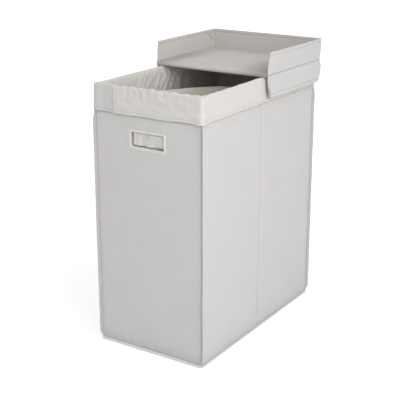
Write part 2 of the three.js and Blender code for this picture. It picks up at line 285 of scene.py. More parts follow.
class NodeBench:
    """Builds the node network of one material or world."""

    def __init__(self, owner):
        owner.use_nodes = True
        self.owner = owner
        self.tree = owner.node_tree

    def node(self, kind, inputs=None, **settings):
        """Adds a node, with its settings and what its inputs are fed with."""
        made = self.tree.nodes.new("ShaderNode" + kind)
        for key, value in settings.items():
            setattr(made, key, value)
        for key, value in (inputs or {}).items():
            self.feed(made.inputs[key], value)
        return made

    def feed(self, socket, value):
        """Joins a socket to another one, or gives it a value of its own."""
        if isinstance(value, bpy.types.NodeSocket):
            self.tree.links.new(value, socket)
        else:
            socket.default_value = value

    def calc(self, operation, first, second=0.0, third=None):
        """The result of one sum with up to three numbers."""
        inputs = {0: first, 1: second}
        if third is not None:
            inputs[2] = third
        return self.node("Math", inputs, operation=operation).outputs[0]

    def noise(self, vector, scale, detail=2.0, roughness=0.5):
        """A cloudy number from 0 to 1 over space or over the flat cloth."""
        inputs = {"Vector": vector, "Scale": scale, "Detail": detail, "Roughness": roughness}
        return self.node("TexNoise", inputs).outputs[0]

    def stretch(self, vector, amounts):
        """A place multiplied by one amount for each axis."""
        return self.node("Mapping", {"Vector": vector, "Scale": amounts}).outputs[0]

    def vary(self, tone, pattern, middle, amount):
        """Adds to a tone what a pattern departs from its middle, times an amount."""
        return self.calc("MULTIPLY_ADD", self.calc("SUBTRACT", pattern, middle), amount, tone)

    def shaded_and_worn(self, tone):
        """Darkens a tone where the mesh asks for painted shade and grime."""
        shade_and_grime = self.node("Attribute", attribute_name="shade_and_grime").outputs["Fac"]
        return self.calc("MULTIPLY", tone, self.calc("MULTIPLY_ADD", shade_and_grime, -SHADE_AND_GRIME_DEPTH, 1.0))

    def seen_by_camera(self):
        """1 for rays from the camera, and for those that it sees in gloss or glass."""
        path = self.node("LightPath").outputs
        seen = self.calc("MAXIMUM", path["Is Camera Ray"], path["Is Glossy Ray"])
        return self.calc("MAXIMUM", seen, path["Is Transmission Ray"])

    def finish(self, colour, tone, relief, strength, depth, sockets):
        """Feeds the shader a colour times a tone, a bump of a depth in millimetres, and more sockets."""
        shade = self.node("VectorMath", {0: linear(*colour)[:3], "Scale": tone}, operation="SCALE")
        bump = self.node("Bump", {"Height": relief, "Strength": strength, "Distance": depth * MM})
        shader = self.tree.nodes["Principled BSDF"]
        sockets = {"Base Color": shade.outputs[0], "Normal": bump.outputs[0], **sockets}
        for name, value in sockets.items():
            self.feed(shader.inputs[name], value)
        return self.owner


def linear(red, green, blue):
    """An sRGB colour of 0 to 255 as the linear colour that a shader wants."""
    shares = [value / 255 for value in (red, green, blue)]
    return [s / 12.92 if s <= 0.04045 else ((s + 0.055) / 1.055) ** 2.4 for s in shares] + [1.0]


print("workbench ready; mid grey is", [round(value, 3) for value in linear(188, 188, 188)])

# %% [markdown]
# Woven cloth
#
# A plain weave passes each thread over and under the next. A checker picks which thread is on top, and
# sine waves round each thread. Stretched noise makes some threads thicker, as in linen, and a broad
# noise gives the faint clouds of real cloth. The weave goes into the bump and a little into the
# colour. A trace of dust darkens the cloth near the floor.

# %% Define the woven cloth
UNDERPASS = 0.4
DUST_SHADE = 0.95


def woven_cloth(name, colour, thread=0.7, slub=0.08, cloud=0.035, weave=0.35, sheen=0.15, dust_to=None):
    """A woven finish. thread is the thread spacing in millimetres, and slub its unevenness."""
    bench = NodeBench(bpy.data.materials.new(name))
    flat = bench.node("TexCoord").outputs["UV"]
    per_metre = 1 / (thread * MM)
    threads = bench.stretch(flat, (per_metre, per_metre, 1.0))
    first, second, _ = bench.node("SeparateXYZ", {0: threads}).outputs
    across, upward = [
        bench.calc("ABSOLUTE", bench.calc("SINE", bench.calc("MULTIPLY", count, math.pi)))
        for count in (first, second)
    ]
    level = bench.node("CombineXYZ", {0: first, 1: second, 2: 0.5}).outputs[0]
    checker = bench.node("TexChecker", {"Vector": level, "Scale": 1.0}).outputs["Fac"]
    warp, weft = [
        bench.calc("MULTIPLY", above, bench.calc("MULTIPLY_ADD", below, UNDERPASS, 1 - UNDERPASS))
        for above, below in ((across, upward), (upward, across))
    ]
    crossing = bench.node("Mix", {0: checker, 2: warp, 3: weft}, data_type="FLOAT").outputs[0]

    slub_along = bench.noise(bench.stretch(flat, (25.0, 700.0, 1.0)), 1.0)
    slub_up = bench.noise(bench.stretch(flat, (700.0, 25.0, 1.0)), 1.0)
    slubs = bench.calc("ADD", slub_along, slub_up)
    clouds = bench.noise(flat, 9.0, 3.0)

    tone = bench.vary(1.0, slubs, 1.0, slub)
    tone = bench.vary(tone, clouds, 0.5, cloud * 2)
    tone = bench.vary(tone, crossing, 0.55, 0.06)
    if dust_to is not None:
        place = bench.node("TexCoord").outputs["Object"]
        high = bench.node("SeparateXYZ", {0: place}).outputs[2]
        patchy = bench.calc("MULTIPLY_ADD", clouds, dust_to * MM, high)
        settled = bench.node("MapRange", {0: patchy, 1: 0.0, 2: dust_to * 2 * MM, 3: DUST_SHADE, 4: 1.0})
        tone = bench.calc("MULTIPLY", tone, settled.outputs[0])
    relief = bench.calc("MULTIPLY_ADD", slubs, 0.5, bench.calc("MULTIPLY", crossing, weave))
    return bench.finish(colour, bench.shaded_and_worn(tone), relief, 0.5, 0.3, {
        "Roughness": 0.85, "Sheen Weight": sheen, "Sheen Roughness": 0.5, "Specular IOR Level": 0.25})


outer_cloth = woven_cloth("outer_linen_look", (218, 217, 216), dust_to=60)
liner_cotton = woven_cloth("liner_cotton", (226, 224, 220), thread=0.45, slub=0.05, weave=0.25)
lid_lining = woven_cloth("lid_lining", (208, 205, 201), thread=0.5, slub=0.05)
seam_binding = woven_cloth("seam_binding", (199, 197, 196), thread=0.4, slub=0.04, cloud=0.05)
# The divider's cotton is yellower than the liner's, and is also painted lighter, as painted light where the
# lamps reach it too little.
divider_cotton_lightened = woven_cloth("divider_cotton_lightened", (238, 235, 225), thread=0.45, slub=0.05, weave=0.25)
foot_cloth = woven_cloth("foot_cloth", (222, 221, 219))
cuff_patch = woven_cloth("cuff_patch", (216, 215, 214), thread=0.6)
# The thread is painted darker than the cloth it sews, as painted shade, as if it always lay in a shaded
# groove.
sewing_thread_shaded = woven_cloth("sewing_thread_shaded", (196, 193, 190), thread=0.3, slub=0.03, sheen=0.3)
print("cloths ready, from", outer_cloth.name, "to", sewing_thread_shaded.name)

# %% [markdown]
# The other finishes
#
# The wall lining is a bonded felt, whose short fibres lie in all directions. The boards are pressed
# grey board with flecks. The hand slot's frame is moulded plastic with a fine grain and an uneven
# polish. None of these has a weave, so noise in space is enough.

# %% Define felt, board and plastic
def felt_finish(name, colour):
    """Short bonded fibres: fine noise stretched two ways."""
    bench = NodeBench(bpy.data.materials.new(name))
    place = bench.node("TexCoord").outputs["Object"]
    first = bench.noise(bench.stretch(place, (300.0, 900.0, 500.0)), 1.0, 3.0)
    second = bench.noise(bench.stretch(place, (900.0, 300.0, 700.0)), 1.0, 3.0)
    fibres = bench.calc("MULTIPLY", bench.calc("ADD", first, second), 0.5)
    return bench.finish(colour, bench.vary(1.0, fibres, 0.5, 0.25), fibres, 0.4, 0.2, {"Roughness": 0.92})


def board_finish(name, colour):
    """Pressed grey board: pulp clouds and dark flecks."""
    bench = NodeBench(bpy.data.materials.new(name))
    place = bench.node("TexCoord").outputs["Object"]
    pulp = bench.noise(place, 120.0, 5.0, 0.6)
    cells = bench.node("TexVoronoi", {"Vector": place, "Scale": 450.0}).outputs[0]
    fleck = bench.calc("LESS_THAN", cells, 0.16)
    tone = bench.calc("MULTIPLY_ADD", fleck, -0.18, bench.vary(1.0, pulp, 0.5, 0.3))
    return bench.finish(colour, tone, pulp, 0.3, 0.3, {"Roughness": 0.9})


def plastic_finish(name, colour):
    """Moulded plastic with a fine spark-eroded grain and soft, uneven polish, painted darker where the mesh
    asks for shade.
    """
    bench = NodeBench(bpy.data.materials.new(name))
    place = bench.node("TexCoord").outputs["Object"]
    grain = bench.noise(place, 2500.0)
    rubbed = bench.noise(place, 40.0, 3.0)
    polish = bench.node("MapRange", {0: rubbed, 1: 0.3, 2: 0.7, 3: 0.36, 4: 0.5}).outputs[0]
    tone = bench.shaded_and_worn(bench.vary(1.0, rubbed, 0.5, 0.04))
    return bench.finish(colour, tone, grain, 0.15, 0.1, {"Roughness": polish, "Specular IOR Level": 0.45})


wall_felt = felt_finish("wall_felt", (196, 194, 190))
grey_board = board_finish("grey_board", (168, 156, 138))
slot_plastic = plastic_finish("slot_plastic", (235, 234, 232))
print("other finishes:", [material.name for material in (wall_felt, grey_board, slot_plastic)])

# %% [markdown]
# Stitches
#
# A seam is recognised by its stitches. Each is a short grain of thread that dives into the cloth at both
# ends. All stitches of one seam are one mesh, made from a small template that is laid along a path.

# %% Shape one stitch
STITCH_LENGTH = 2.7
STITCH_GAP = 0.8
THREAD = 0.55
FINE_THREAD = 0.45
STITCH_SIDES = 6


def stitch_template():
    """The points and faces of one stitch: a point at each end, and three rings between them."""
    points = [(-0.5, 0.0, -0.3)]
    for along, thick in ((-0.3, 0.8), (0.0, 1.0), (0.3, 0.8)):
        for angle in np.arange(STITCH_SIDES) * 2 * math.pi / STITCH_SIDES:
            points.append((along, 0.5 * thick * math.cos(angle), (0.5 * math.sin(angle) + 0.1) * thick))
    points.append((0.5, 0.0, -0.3))
    faces = []
    for k in range(STITCH_SIDES):
        after = (k + 1) % STITCH_SIDES
        faces.append((0, 1 + after, 1 + k))
        for ring in (1, 1 + STITCH_SIDES):
            further = ring + STITCH_SIDES
            faces.append((ring + k, ring + after, further + after, further + k))
        faces.append((1 + 3 * STITCH_SIDES, further + k, further + after))
    return np.array(points), faces


STITCH_POINTS, STITCH_FACES = stitch_template()
print("a stitch is", STITCH_LENGTH, "mm long and has", len(STITCH_FACES), "faces")

# %% Lay stitches along a path
def follow(table, far, at):
    """The (x, y, z) between the rows of a table at each of some distances, from its rows' own ones."""
    return np.stack([np.interp(at, far, table[:, k]) for k in range(3)], axis=1)


def stitch_piece(name, rows, thread=THREAD):
    """One mesh of all stitches along rows of (path, outward direction or one for each path point)."""
    step = STITCH_LENGTH + STITCH_GAP
    points = []
    for path, outward in rows:
        far = distances(path)
        at = np.arange(step / 2, far[-1] - step / 2, step)
        ahead = follow(path, far, at + 0.5) - follow(path, far, at - 0.5)
        ahead /= np.linalg.norm(ahead, axis=1)[:, None]
        outward = np.broadcast_to(np.asarray(outward, float), path.shape)
        above = follow(outward, np.linspace(0, 1, len(path)), at / far[-1])
        beside = np.cross(above, ahead)
        beside /= np.linalg.norm(beside, axis=1)[:, None]
        above = np.cross(ahead, beside)
        laid = follow(path, far, at)[:, None] + STITCH_POINTS[:, :1] * STITCH_LENGTH * ahead[:, None]
        laid = laid + STITCH_POINTS[:, 1:2] * thread * beside[:, None]
        points.append(laid + STITCH_POINTS[:, 2:] * thread * above[:, None])
    points = np.concatenate(points)
    size = len(STITCH_POINTS)
    faces = [tuple(corner + size * k for corner in face) for k in range(len(points)) for face in STITCH_FACES]
    corners = len(points) * sum(len(face) for face in STITCH_FACES)
    return mesh_piece(name, points.reshape(-1, 3), faces, np.zeros((corners, 2)))


print("stitches lie", round(STITCH_LENGTH + STITCH_GAP, 1), "mm apart")

# %% [markdown]
# Dressing a piece
#
# Each finished piece gets a finish, rides on one body of the model, and names the CAD nodes whose place
# it takes. The same few lines would follow each piece, so small helpers hold them.

# %% Define how a piece is dressed
def dress(piece, body, finish, slot, *nodes):
    """Gives a piece its finish and body, and says which CAD nodes it stands for. Its slot is not used."""
    if not piece.data.materials:
        piece.data.materials.append(finish)
    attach(piece, body)
    if nodes:
        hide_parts(*nodes)
    return piece


def sew(name, rows, body, slot, thread=THREAD):
    """The stitches of one seam as a dressed piece."""
    return dress(stitch_piece(name, rows, thread), body, sewing_thread_shaded, slot)


def two_finishes(piece, first, second, has_second):
    """Gives the faces that has_second marks the second finish, and all others the first."""
    piece.data.materials.append(first)
    piece.data.materials.append(second)
    piece.data.polygons.foreach_set("material_index", np.asarray(has_second, np.int32).ravel())


print("pieces can be dressed")

# %% [markdown]
# The four walls
#
# Each wall of the real hamper is a pocket of outer cloth and felt, with one board in it at the ends and
# two at the sides. A table of directions describes the four walls, so that one function can sew them
# all. On each wall, s runs to the right, z runs up, and d is how far the cloth stands out from the plane
# of the boards.

# %% Describe the walls
WALLS = {
    "front": {"out": (0, -1, 0), "right": (1, 0, 0), "half": half_width, "far": half_length, "seed": 11},
    "right": {"out": (1, 0, 0), "right": (0, 1, 0), "half": half_length, "far": half_width, "seed": 12},
    "back": {"out": (0, 1, 0), "right": (-1, 0, 0), "half": half_width, "far": half_length, "seed": 13},
    "left": {"out": (-1, 0, 0), "right": (0, -1, 0), "half": half_length, "far": half_width, "seed": 14},
}
SLOT_WALLS = ("front", "back")
SLOT_BORDER = 7.0
slot_low, slot_high = box_mm("front_handle_frame")
slot_half_width = slot_high[0] - SLOT_BORDER
slot_half_height = (slot_high[2] - slot_low[2]) / 2 - SLOT_BORDER
slot_height = (slot_high[2] + slot_low[2]) / 2


def on_wall(wall, s, d, z):
    """Points on a wall, from the way right, the way out and the height."""
    facts = WALLS[wall]
    s, d, z = np.broadcast_arrays(np.asarray(s, float), np.asarray(d, float), np.asarray(z, float))
    out = np.array(facts["out"], float)
    right = np.array(facts["right"], float)
    up = np.array((0.0, 0.0, 1.0))
    return s[..., None] * right + (facts["far"] + d)[..., None] * out + z[..., None] * up


print("hand slot", round(2 * slot_half_width), "x", round(2 * slot_half_height), "at", round(slot_height, 1))

# %% [markdown]
# The outer cloth of a wall
#
# A flat box would look like plastic. Real cloth is drawn over the board: it bellies by a third of a
# millimetre, puckers along its sewn edges, dips into the fold line between the two boards of a side
# wall, and rolls over the board's top. The table of points is dense enough for each of these. The
# colour is painted darker at the corners, at the foot and in the fold line, as shade, with a painted
# shadow under the cuff's hem.

# %% Define a wall's sheet
ROLL_RADIUS = wall_depth / 2
ROLL_TURNS = np.radians([20, 40, 60, 80])[:, None]
SLOT_ROOM = 2.0


def wall_sheet(name, wall, s, z, relief, over_top, turned=False):
    """A sheet on a wall, open at the hand slot, and its flat places.

    The last rows roll over the board's top; over_top says how far out they stand.
    """
    across, up, _ = grid(s, z)
    rise = rim_height - ROLL_RADIUS + ROLL_RADIUS * np.sin(ROLL_TURNS)
    points = np.concatenate([on_wall(wall, across, relief, up), on_wall(wall, s, over_top, rise)])
    z = np.concatenate([z, z[-1] + ROLL_RADIUS * ROLL_TURNS[:, 0]])
    hole = None
    if wall in SLOT_WALLS:
        middle_s, middle_z, _ = grid((s[1:] + s[:-1]) / 2, (z[1:] + z[:-1]) / 2)
        hole = np.abs(middle_s) < slot_half_width + SLOT_ROOM
        hole = hole & (np.abs(middle_z - slot_height) < slot_half_height + SLOT_ROOM)
    flat = grid(s, z)[2]
    return sheet_piece(name, points, flat, left_out=hole, turned=turned), flat


print("the cloth rolls over a radius of", round(ROLL_RADIUS, 2), "mm")

# %% Shape and soil the outer cloth
FOLD_LINE_DEPTH = 1.9
EDGE_DROP = 1.1
FOOT_DROP = 1.2
HEM_LINE = cuff_hem_height - 2.0
HEM_SAG = 2.6


def wall_relief(wall, s, z):
    """How far the outer cloth stands out from the board's plane."""
    seed = WALLS[wall]["seed"]
    edge = WALLS[wall]["half"] - np.abs(s)
    swell = 0.35 + 0.3 * ripple(s, z, 190, seed) + 0.1 * ripple(s, z * 0.6, 60, seed + 20)
    puckers = 0.16 * ripple(s * 0.25, z, 26, seed + 40) * np.exp(-edge / 16)
    puckers = puckers + 0.2 * ripple(s, z * 0.25, 24, seed + 60) * np.exp(-z / 22)
    held = step_between(edge, 1, 14) * step_between(z, 2, 24)
    relief = np.maximum(swell * held, -0.1) + puckers
    if wall in SLOT_WALLS:
        beside = np.maximum(np.abs(s) - slot_half_width - SLOT_BORDER, 0)
        above = np.maximum(np.abs(z - slot_height) - slot_half_height - SLOT_BORDER, 0)
        round_frame = np.exp(-np.hypot(beside, above) / 14)
        relief = relief * (1 - 0.8 * round_frame) + 0.22 * ripple(s, z, 20, seed + 90) * round_frame
    else:
        trench = FOLD_LINE_DEPTH * bell(s, 0, 2.2) + 0.5 * bell(s, 0, 6)
        shoulders = 0.35 * (bell(s, 8.5, 3.0) + bell(s, -8.5, 3.0))
        relief = relief - trench + shoulders
        relief = relief + 0.14 * ripple(s * 0.3, z, 18, seed + 80) * bell(s, 0, 16)
    relief = relief - EDGE_DROP * (1 - step_between(edge, 0, 3.4))
    return relief - FOOT_DROP * (1 - step_between(z, 7.0, 10.5))


def wall_painted_shade(wall, s, z):
    """How much darker a wall is painted, as shade: at its corners, foot and fold line, a shadow under the
    cuff's hem, and a little towards the bottom.
    """
    edge = WALLS[wall]["half"] - np.abs(s)
    foot, deepest = (10.5, 0.75) if wall in SLOT_WALLS else (12.0, 0.5)
    sag = HEM_SAG * np.cos(np.pi / 2 * np.clip(s / half_width, -1, 1)) if wall == "front" else 0.0
    below_hem = z - (HEM_LINE - sag)
    # Painted shade at the corners, at the foot and towards the bottom, and a painted shadow under the cuff's
    # hem; the fold line's shade is added below.
    amounts = [
        0.25 * bell(edge, 0, 2.0),
        deepest * (1 - step_between(z, 6.5, foot)),
        0.22 * (1 - step_between(z, 8, 40)),
        0.5 * step_between(below_hem, -3.4, -0.6) * (1 - step_between(below_hem, 1, 5)),
    ]
    if wall not in SLOT_WALLS:
        amounts.append(0.45 * bell(s, 0.4, 1.8) * (0.75 + 0.25 * (1 - step_between(z, 300, 600))))
    return np.maximum.reduce(amounts)


print("the fold line is", FOLD_LINE_DEPTH, "mm deep")

# %% Sew the outer cloth of the walls
UNDER_CUFF = (652, 673)


def wall_cloth(wall):
    """The outer cloth of one wall, from the floor seam up and over the board's top."""
    half = WALLS[wall]["half"]
    top = rim_height - ROLL_RADIUS
    if wall in SLOT_WALLS:
        edge = slot_half_width + SLOT_ROOM + 0.2
        middle = [(4, -half + 6, -edge, edge, half - 6)]
        edge = slot_half_height + SLOT_ROOM + 0.2
        z = stations(4, 18, slot_height - edge, slot_height + edge, UNDER_CUFF[0], top)
    else:
        middle = [(5, -half + 6, -14), (1.2, -14, 14), (5, 14, half - 6)]
        z = stations(6, 18, UNDER_CUFF[0], top)
    s = runs((1.5, -half, -half + 6), *middle, (1.5, half - 6, half))
    z = np.concatenate([
        stations(1.7, 1.5, 18)[:-1],
        z[z < UNDER_CUFF[0]],
        stations(1.5, *UNDER_CUFF),
        z[z > UNDER_CUFF[1] + 1],
    ])
    across, up, _ = grid(s, z)
    relief = wall_relief(wall, across, up)
    over_top = relief[-1] * np.cos(ROLL_TURNS) - ROLL_RADIUS * (1 - np.cos(ROLL_TURNS))
    piece, flat = wall_sheet(wall + "_wall_cloth", wall, s, z, relief, over_top)
    set_shade_and_grime(piece, wall_painted_shade(wall, flat[..., 0], flat[..., 1]))
    return thicken(piece, 0.8)


for wall, facts in WALLS.items():
    cloth = dress(wall_cloth(wall), "hamper", outer_cloth, "outer_cloth", wall + "_cover")
    print(cloth.name, len(cloth.data.polygons), "faces")

# %% [markdown]
# The inner lining of a wall
#
# The felt lining closes the board pocket on the inside. It shows only when the liner is lifted out, and
# it meets the outer cloth on top of the board.

# %% Sew the wall linings
def wall_lining(wall):
    """The felt lining of one wall, on the inner side of the boards."""
    half = WALLS[wall]["half"] - wall_depth - 0.2
    s = stations(12, -half, -half + 6, half - 6, half)
    if wall in SLOT_WALLS:
        edge = slot_half_width + SLOT_ROOM + 0.4
        s = stations(10, -half, -edge, edge, half)
    edge = slot_half_height + SLOT_ROOM + 0.4
    z = stations(12, 1.7, slot_height - edge, slot_height + edge, rim_height - ROLL_RADIUS)
    across, up, _ = grid(s, z)
    relief = -wall_depth + 0.12 * (ripple(across, up, 80, 7) - 1)
    over_top = -wall_depth + ROLL_RADIUS * (1 - np.cos(ROLL_TURNS))
    piece, _ = wall_sheet(wall + "_wall_lining", wall, s, z, relief, over_top, turned=True)
    return thicken(piece, 0.4)


for wall, facts in WALLS.items():
    felt = dress(wall_lining(wall), "hamper", wall_felt, "lining", wall + "_lining")
print("four linings sewn")

# %% [markdown]
# The corner fins
#
# At each upright corner the two walls are sewn together with the seam outside, so the edges of both
# cloths stand out at 45 degrees as a fin of about nine millimetres. Near the floor and under the cuff
# the fin runs out. Its cross section is drawn once and laid along the height; it waves a little. Each
# point of the section says how far out it is, as a + b * reach, and how far from the middle plane, t.

# %% Sew the corner fins
FIN_REACH = 9.0
FIN_TOP = 690.0
FIN_STITCH_SHARE = 0.66
FIN_STITCH_SIDE = 0.64
FIN_SECTION = [
    (-2.6, 0, -2.2), (-1.8, 0, -1.5), (-1.0, 0, -1.1), (0.1, 0.02, -0.88), (0.3, 0.15, -0.82),
    (0.2, 0.4, -0.82), (0.1, 0.56, -0.8), (0.0, 0.66, -0.55), (0.0, 0.78, -0.8), (0.0, 0.92, -0.72),
    (0.0, 1.0, -0.3),
]
FIN_ROOT = [(-3.3, 0, 2.0), (-2.2, 0, 0.0), (-3.3, 0, -2.0)]


def fin_reach(z, seed):
    """How far the fin stands out at each height."""
    foot = step_between(z, 5, 24)
    under_cuff = 1 - 0.58 * step_between(z, 636, cuff_hem_height)
    end = 1 - step_between(z, cuff_hem_height + 3, FIN_TOP - 2)
    wave = 1 + 0.035 * ripple(z, 0 * z, 90, seed)
    return 1.0 + (FIN_REACH - 1.0) * foot * under_cuff * end * wave


def fin_point(signs, e, t, z):
    """A point from the way out along the corner's diagonal, the way across it, and the height."""
    out = np.array((signs[0], signs[1], 0)) / math.sqrt(2)
    across = np.array((-signs[1], signs[0], 0)) / math.sqrt(2)
    corner = np.array((signs[0] * half_width, signs[1] * half_length, 0))
    up = np.array((0.0, 0.0, 1.0))
    e, t, z = np.broadcast_arrays(np.asarray(e, float), np.asarray(t, float), np.asarray(z, float))
    return corner + e[..., None] * out + t[..., None] * across + z[..., None] * up


def corner_fin(name, signs, seed):
    """One fin, a closed section along the height, and its two stitch paths."""
    z = runs((2, 1.6, 26), (6, 26, 630, cuff_hem_height, FIN_TOP))
    reach = fin_reach(z, seed)
    sway = 0.55 * ripple(z, 0 * z, 130, seed + 5)
    mirrored = [(a, b, -t) for a, b, t in reversed(FIN_SECTION)]
    a, b, t = np.array(FIN_SECTION + mirrored + FIN_ROOT).T
    e = a + b * reach[:, None]
    points = fin_point(signs, e, t + sway[:, None] * np.clip(e / FIN_REACH, 0, 1) ** 2, z[:, None])
    flat = grid(np.linspace(0, 38, len(t) + 1), z)[2]
    fin = sheet_piece(name, points, flat, round_columns=True, turned=signs[0] * signs[1] > 0)
    # Painted shade at the fin's root, where it leaves the walls, fading along its sides.
    shade_and_grime = np.where(b < 0.1, 0.3, 0.25 * bell(b, 0.1, 0.16))
    set_shade_and_grime(fin, np.broadcast_to(shade_and_grime, points.shape[:2]))
    rows = []
    kept = (z > 24) & (z < 650)
    at = reach * FIN_STITCH_SHARE
    for side in (-1, 1):
        path = fin_point(signs, at, side * FIN_STITCH_SIDE + sway * (at / FIN_REACH) ** 2, z)[kept]
        rows.append((path, fin_point(signs, 0, side, 0) - fin_point(signs, 0, 0, 0)))
    return fin, rows


fin_rows = []
CORNERS = {"front_right": (1, -1), "front_left": (-1, -1), "back_right": (1, 1), "back_left": (-1, 1)}
for number, (corner, signs) in enumerate(CORNERS.items()):
    fin, rows = corner_fin(corner + "_corner_fin", signs, 100 + number)
    dress(fin, "hamper", seam_binding, "outer_cloth", corner + "_seam")
    fin_rows += rows
fin_stitches = sew("corner_fin_stitches", fin_rows, "hamper", "outer_cloth")
print("fins:", len(CORNERS), "stitch faces:", len(fin_stitches.data.polygons))

# %% [markdown]
# A path round a box
#
# The base seam, the liner and its cuff all run round the box. One helper walks round a rectangle with
# rounded corners, always in the same order, and gives for each column its place and outward way.
# Straight stretches keep their columns when the size changes, so upright threads stay upright.

# %% Define the loop round the box
def loop_plan(front, right, back, left, corner_steps):
    """The columns of a loop: each wall's shares from -1 to 1, with corner steps between the walls."""
    plan = []
    for wall, shares in (("front", front), ("right", right), ("back", back), ("left", left)):
        plan += [(wall, "straight", share) for share in shares]
        plan += [(wall, "corner", (k + 1) / (corner_steps + 1)) for k in range(corner_steps)]
    return plan


def loop_points(plan, half_x, half_y, radius):
    """The place (x, y) and outward way of each column, for one size of loop."""
    places = np.zeros((len(plan), 2))
    outward = np.zeros((len(plan), 2))
    for k, (wall, kind, share) in enumerate(plan):
        out = np.array(WALLS[wall]["out"][:2], float)
        right = np.array(WALLS[wall]["right"][:2], float)
        far, half = (half_y, half_x) if wall in ("front", "back") else (half_x, half_y)
        if kind == "straight":
            places[k] = out * far + right * share * (half - radius)
            outward[k] = out
        else:
            angle = share * math.pi / 2
            way = out * math.cos(angle) + right * math.sin(angle)
            places[k] = out * (far - radius) + right * (half - radius) + way * radius
            outward[k] = way
    return places, outward


def closed(path):
    """A path that ends where it starts."""
    return np.vstack([path, path[:1]])


def loop_lengths(places):
    """The distance along the loop up to each column, with the whole way round at the end."""
    return distances(closed(places))


even = np.linspace(-1, 1, 60)
long_even = np.linspace(-1, 1, 100)
base_plan = loop_plan(even, long_even, even, long_even, 7)
print("columns round the base:", len(base_plan))

# %% [markdown]
# The base seam
#
# Round the foot, the walls and the base cloth are sewn together in a second fin. On the short sides it
# leans down to the floor, and shows as a light band with a dark line above it. On the long sides it is
# tucked under. The dark line, the band's foot and the tucked band are painted darker, as shade. It is
# one closed section round the box, as (way out, height).

# %% Sew the base seam
BASE_SECTION = [
    (-1.9, 8.4), (-1.3, 7.6), (-1.05, 6.8), (-0.7, 6.3), (0.3, 6.35), (1.5, 6.2), (2.7, 5.5), (3.8, 4.4),
    (4.8, 3.1), (5.5, 2.0), (5.7, 1.2), (5.4, 0.6), (4.8, 0.35), (2.5, 0.3), (0.5, 0.3), (-1.9, 0.3),
]
BASE_CORNER = 2.5
TUCKED_SHARE = 0.3
BASE_STITCH_ROW = 5
DARK_ROWS = 4


def base_seam():
    """The base seam all round, and the path of its stitches."""
    places, ways = loop_points(base_plan, half_width, half_length, BASE_CORNER)
    lengths = loop_lengths(places)
    on_side = step_between(np.abs(ways[:, 0]), 0.35, 0.95)
    waves = 0.3 * ripple(lengths[:-1], 0 * lengths[:-1], 70, 31)
    rows = []
    shade_and_grime = []
    for k, (d, z) in enumerate(BASE_SECTION):
        reach = d * (1 - (1 - TUCKED_SHARE) * on_side) if d > 0 else d + 0 * on_side
        heights = np.maximum(z + waves * np.clip(z / 6, 0, 1), 0.3)
        rows.append(np.column_stack([places + ways * reach[:, None], heights]))
        # Painted shade: the rows up against the wall, the band's foot on the floor, and the whole tucked band
        # on the long sides.
        shade_and_grime.append(np.maximum(0.75 if k < DARK_ROWS else 0.25 * bell(z, 0.3, 1.2), 0.45 * on_side))
    girth = distances(np.array(BASE_SECTION))
    flat = grid(lengths, np.append(girth, girth[-1] + 8))[2]
    piece = sheet_piece("base_seam_band", np.array(rows), flat, True, True, turned=True)
    set_shade_and_grime(piece, np.array(shade_and_grime))
    slope = np.column_stack([ways * 0.6, np.full(len(ways), 0.8)])
    return piece, [(closed(rows[BASE_STITCH_ROW]), closed(slope))]


base_band, base_rows = base_seam()
seams = [wall + "_base_seam" for wall in WALLS]
dress(base_band, "hamper", foot_cloth, "outer_cloth", *seams)
sew("base_seam_stitches", base_rows, "hamper", "outer_cloth")
print("base seam faces:", len(base_band.data.polygons))

# %% [markdown]
# The fold lines and the base cloth
#
# The side walls fold inwards along a stitched line between their boards. The base cloth closes the box
# below. It is seen only when the hamper is tipped over or emptied, and still gets its slack and its weave.

# %% Stitch the fold lines and lay the base cloth
fold_rows = []
for wall in ("right", "left"):
    heights = stations(8, 12, rim_height - 4)
    depth = wall_relief(wall, np.zeros(len(heights)), heights)
    fold_rows.append((on_wall(wall, np.zeros(len(heights)), depth + 0.1, heights), WALLS[wall]["out"]))
sew("fold_line_stitches", fold_rows, "hamper", "outer_cloth")

across, along, flat = grid(stations(15, -half_width, half_width), stations(15, -half_length, half_length))
sagging = 0.25 + 0.12 * ripple(across, along, 90, 5)
points = np.stack([across, along, np.clip(sagging, 0.02, 0.45)], axis=-1)
base_sheet = thicken(sheet_piece("base_sheet", points, flat, turned=True), 0.7)
dress(base_sheet, "hamper", outer_cloth, "outer_cloth", "base_cloth")
print("base sheet faces:", len(base_sheet.data.polygons))

# %% [markdown]
# The hand slots
#
# A moulded frame finishes each hand slot: a rounded bead round the opening, a shallow sloping border, and
# a sleeve through the wall to the ring behind it. The section, as (way from the opening, way out), is
# swept round a small-cornered rectangle. The sleeve is painted darker as shade in the recess, least on
# the left of its lower side, and painted shade lines run along the border's outer edge and behind the bead.

# %% Mould the hand slot frames
SLOT_CORNER = 3.2
SLOT_SECTION = [
    (0.0, -6.8), (0.0, -3.0), (0.0, 1.0), (0.18, 2.0), (0.6, 2.6), (1.3, 2.9), (2.0, 2.7), (2.5, 2.1),
    (2.8, 1.5), (3.2, 1.15), (3.7, 1.05), (4.6, 1.1), (5.5, 1.2), (6.0, 1.35), (6.5, 1.3), (6.85, 0.9),
    (7.0, 0.3), (6.8, 0.0), (4.0, -0.05), (1.5, -0.1), (1.5, -6.8),
]
CORNER_STEPS = 8
STRAIGHT_STEPS = 10
STRAIGHT_FROM = 6


def rounded_rectangle(half_s, half_z, radius):
    """Places round an upright rectangle with rounded corners, from the bottom right corner on."""
    found = []
    for sign_s, sign_z, start in ((1, -1, -90), (1, 1, 0), (-1, 1, 90), (-1, -1, 180)):
        for k in range(CORNER_STEPS + 1):
            angle = math.radians(start + 90 * k / CORNER_STEPS)
            x = sign_s * (half_s - radius) + radius * math.cos(angle)
            found.append((x, sign_z * (half_z - radius) + radius * math.sin(angle)))
    found = np.array(found)
    full = []
    for place, after in zip(found, np.roll(found, -1, axis=0)):
        full.append(place)
        if math.dist(place, after) > STRAIGHT_FROM:
            full += [place + (after - place) * (k / STRAIGHT_STEPS) for k in range(1, STRAIGHT_STEPS)]
    return np.array(full)


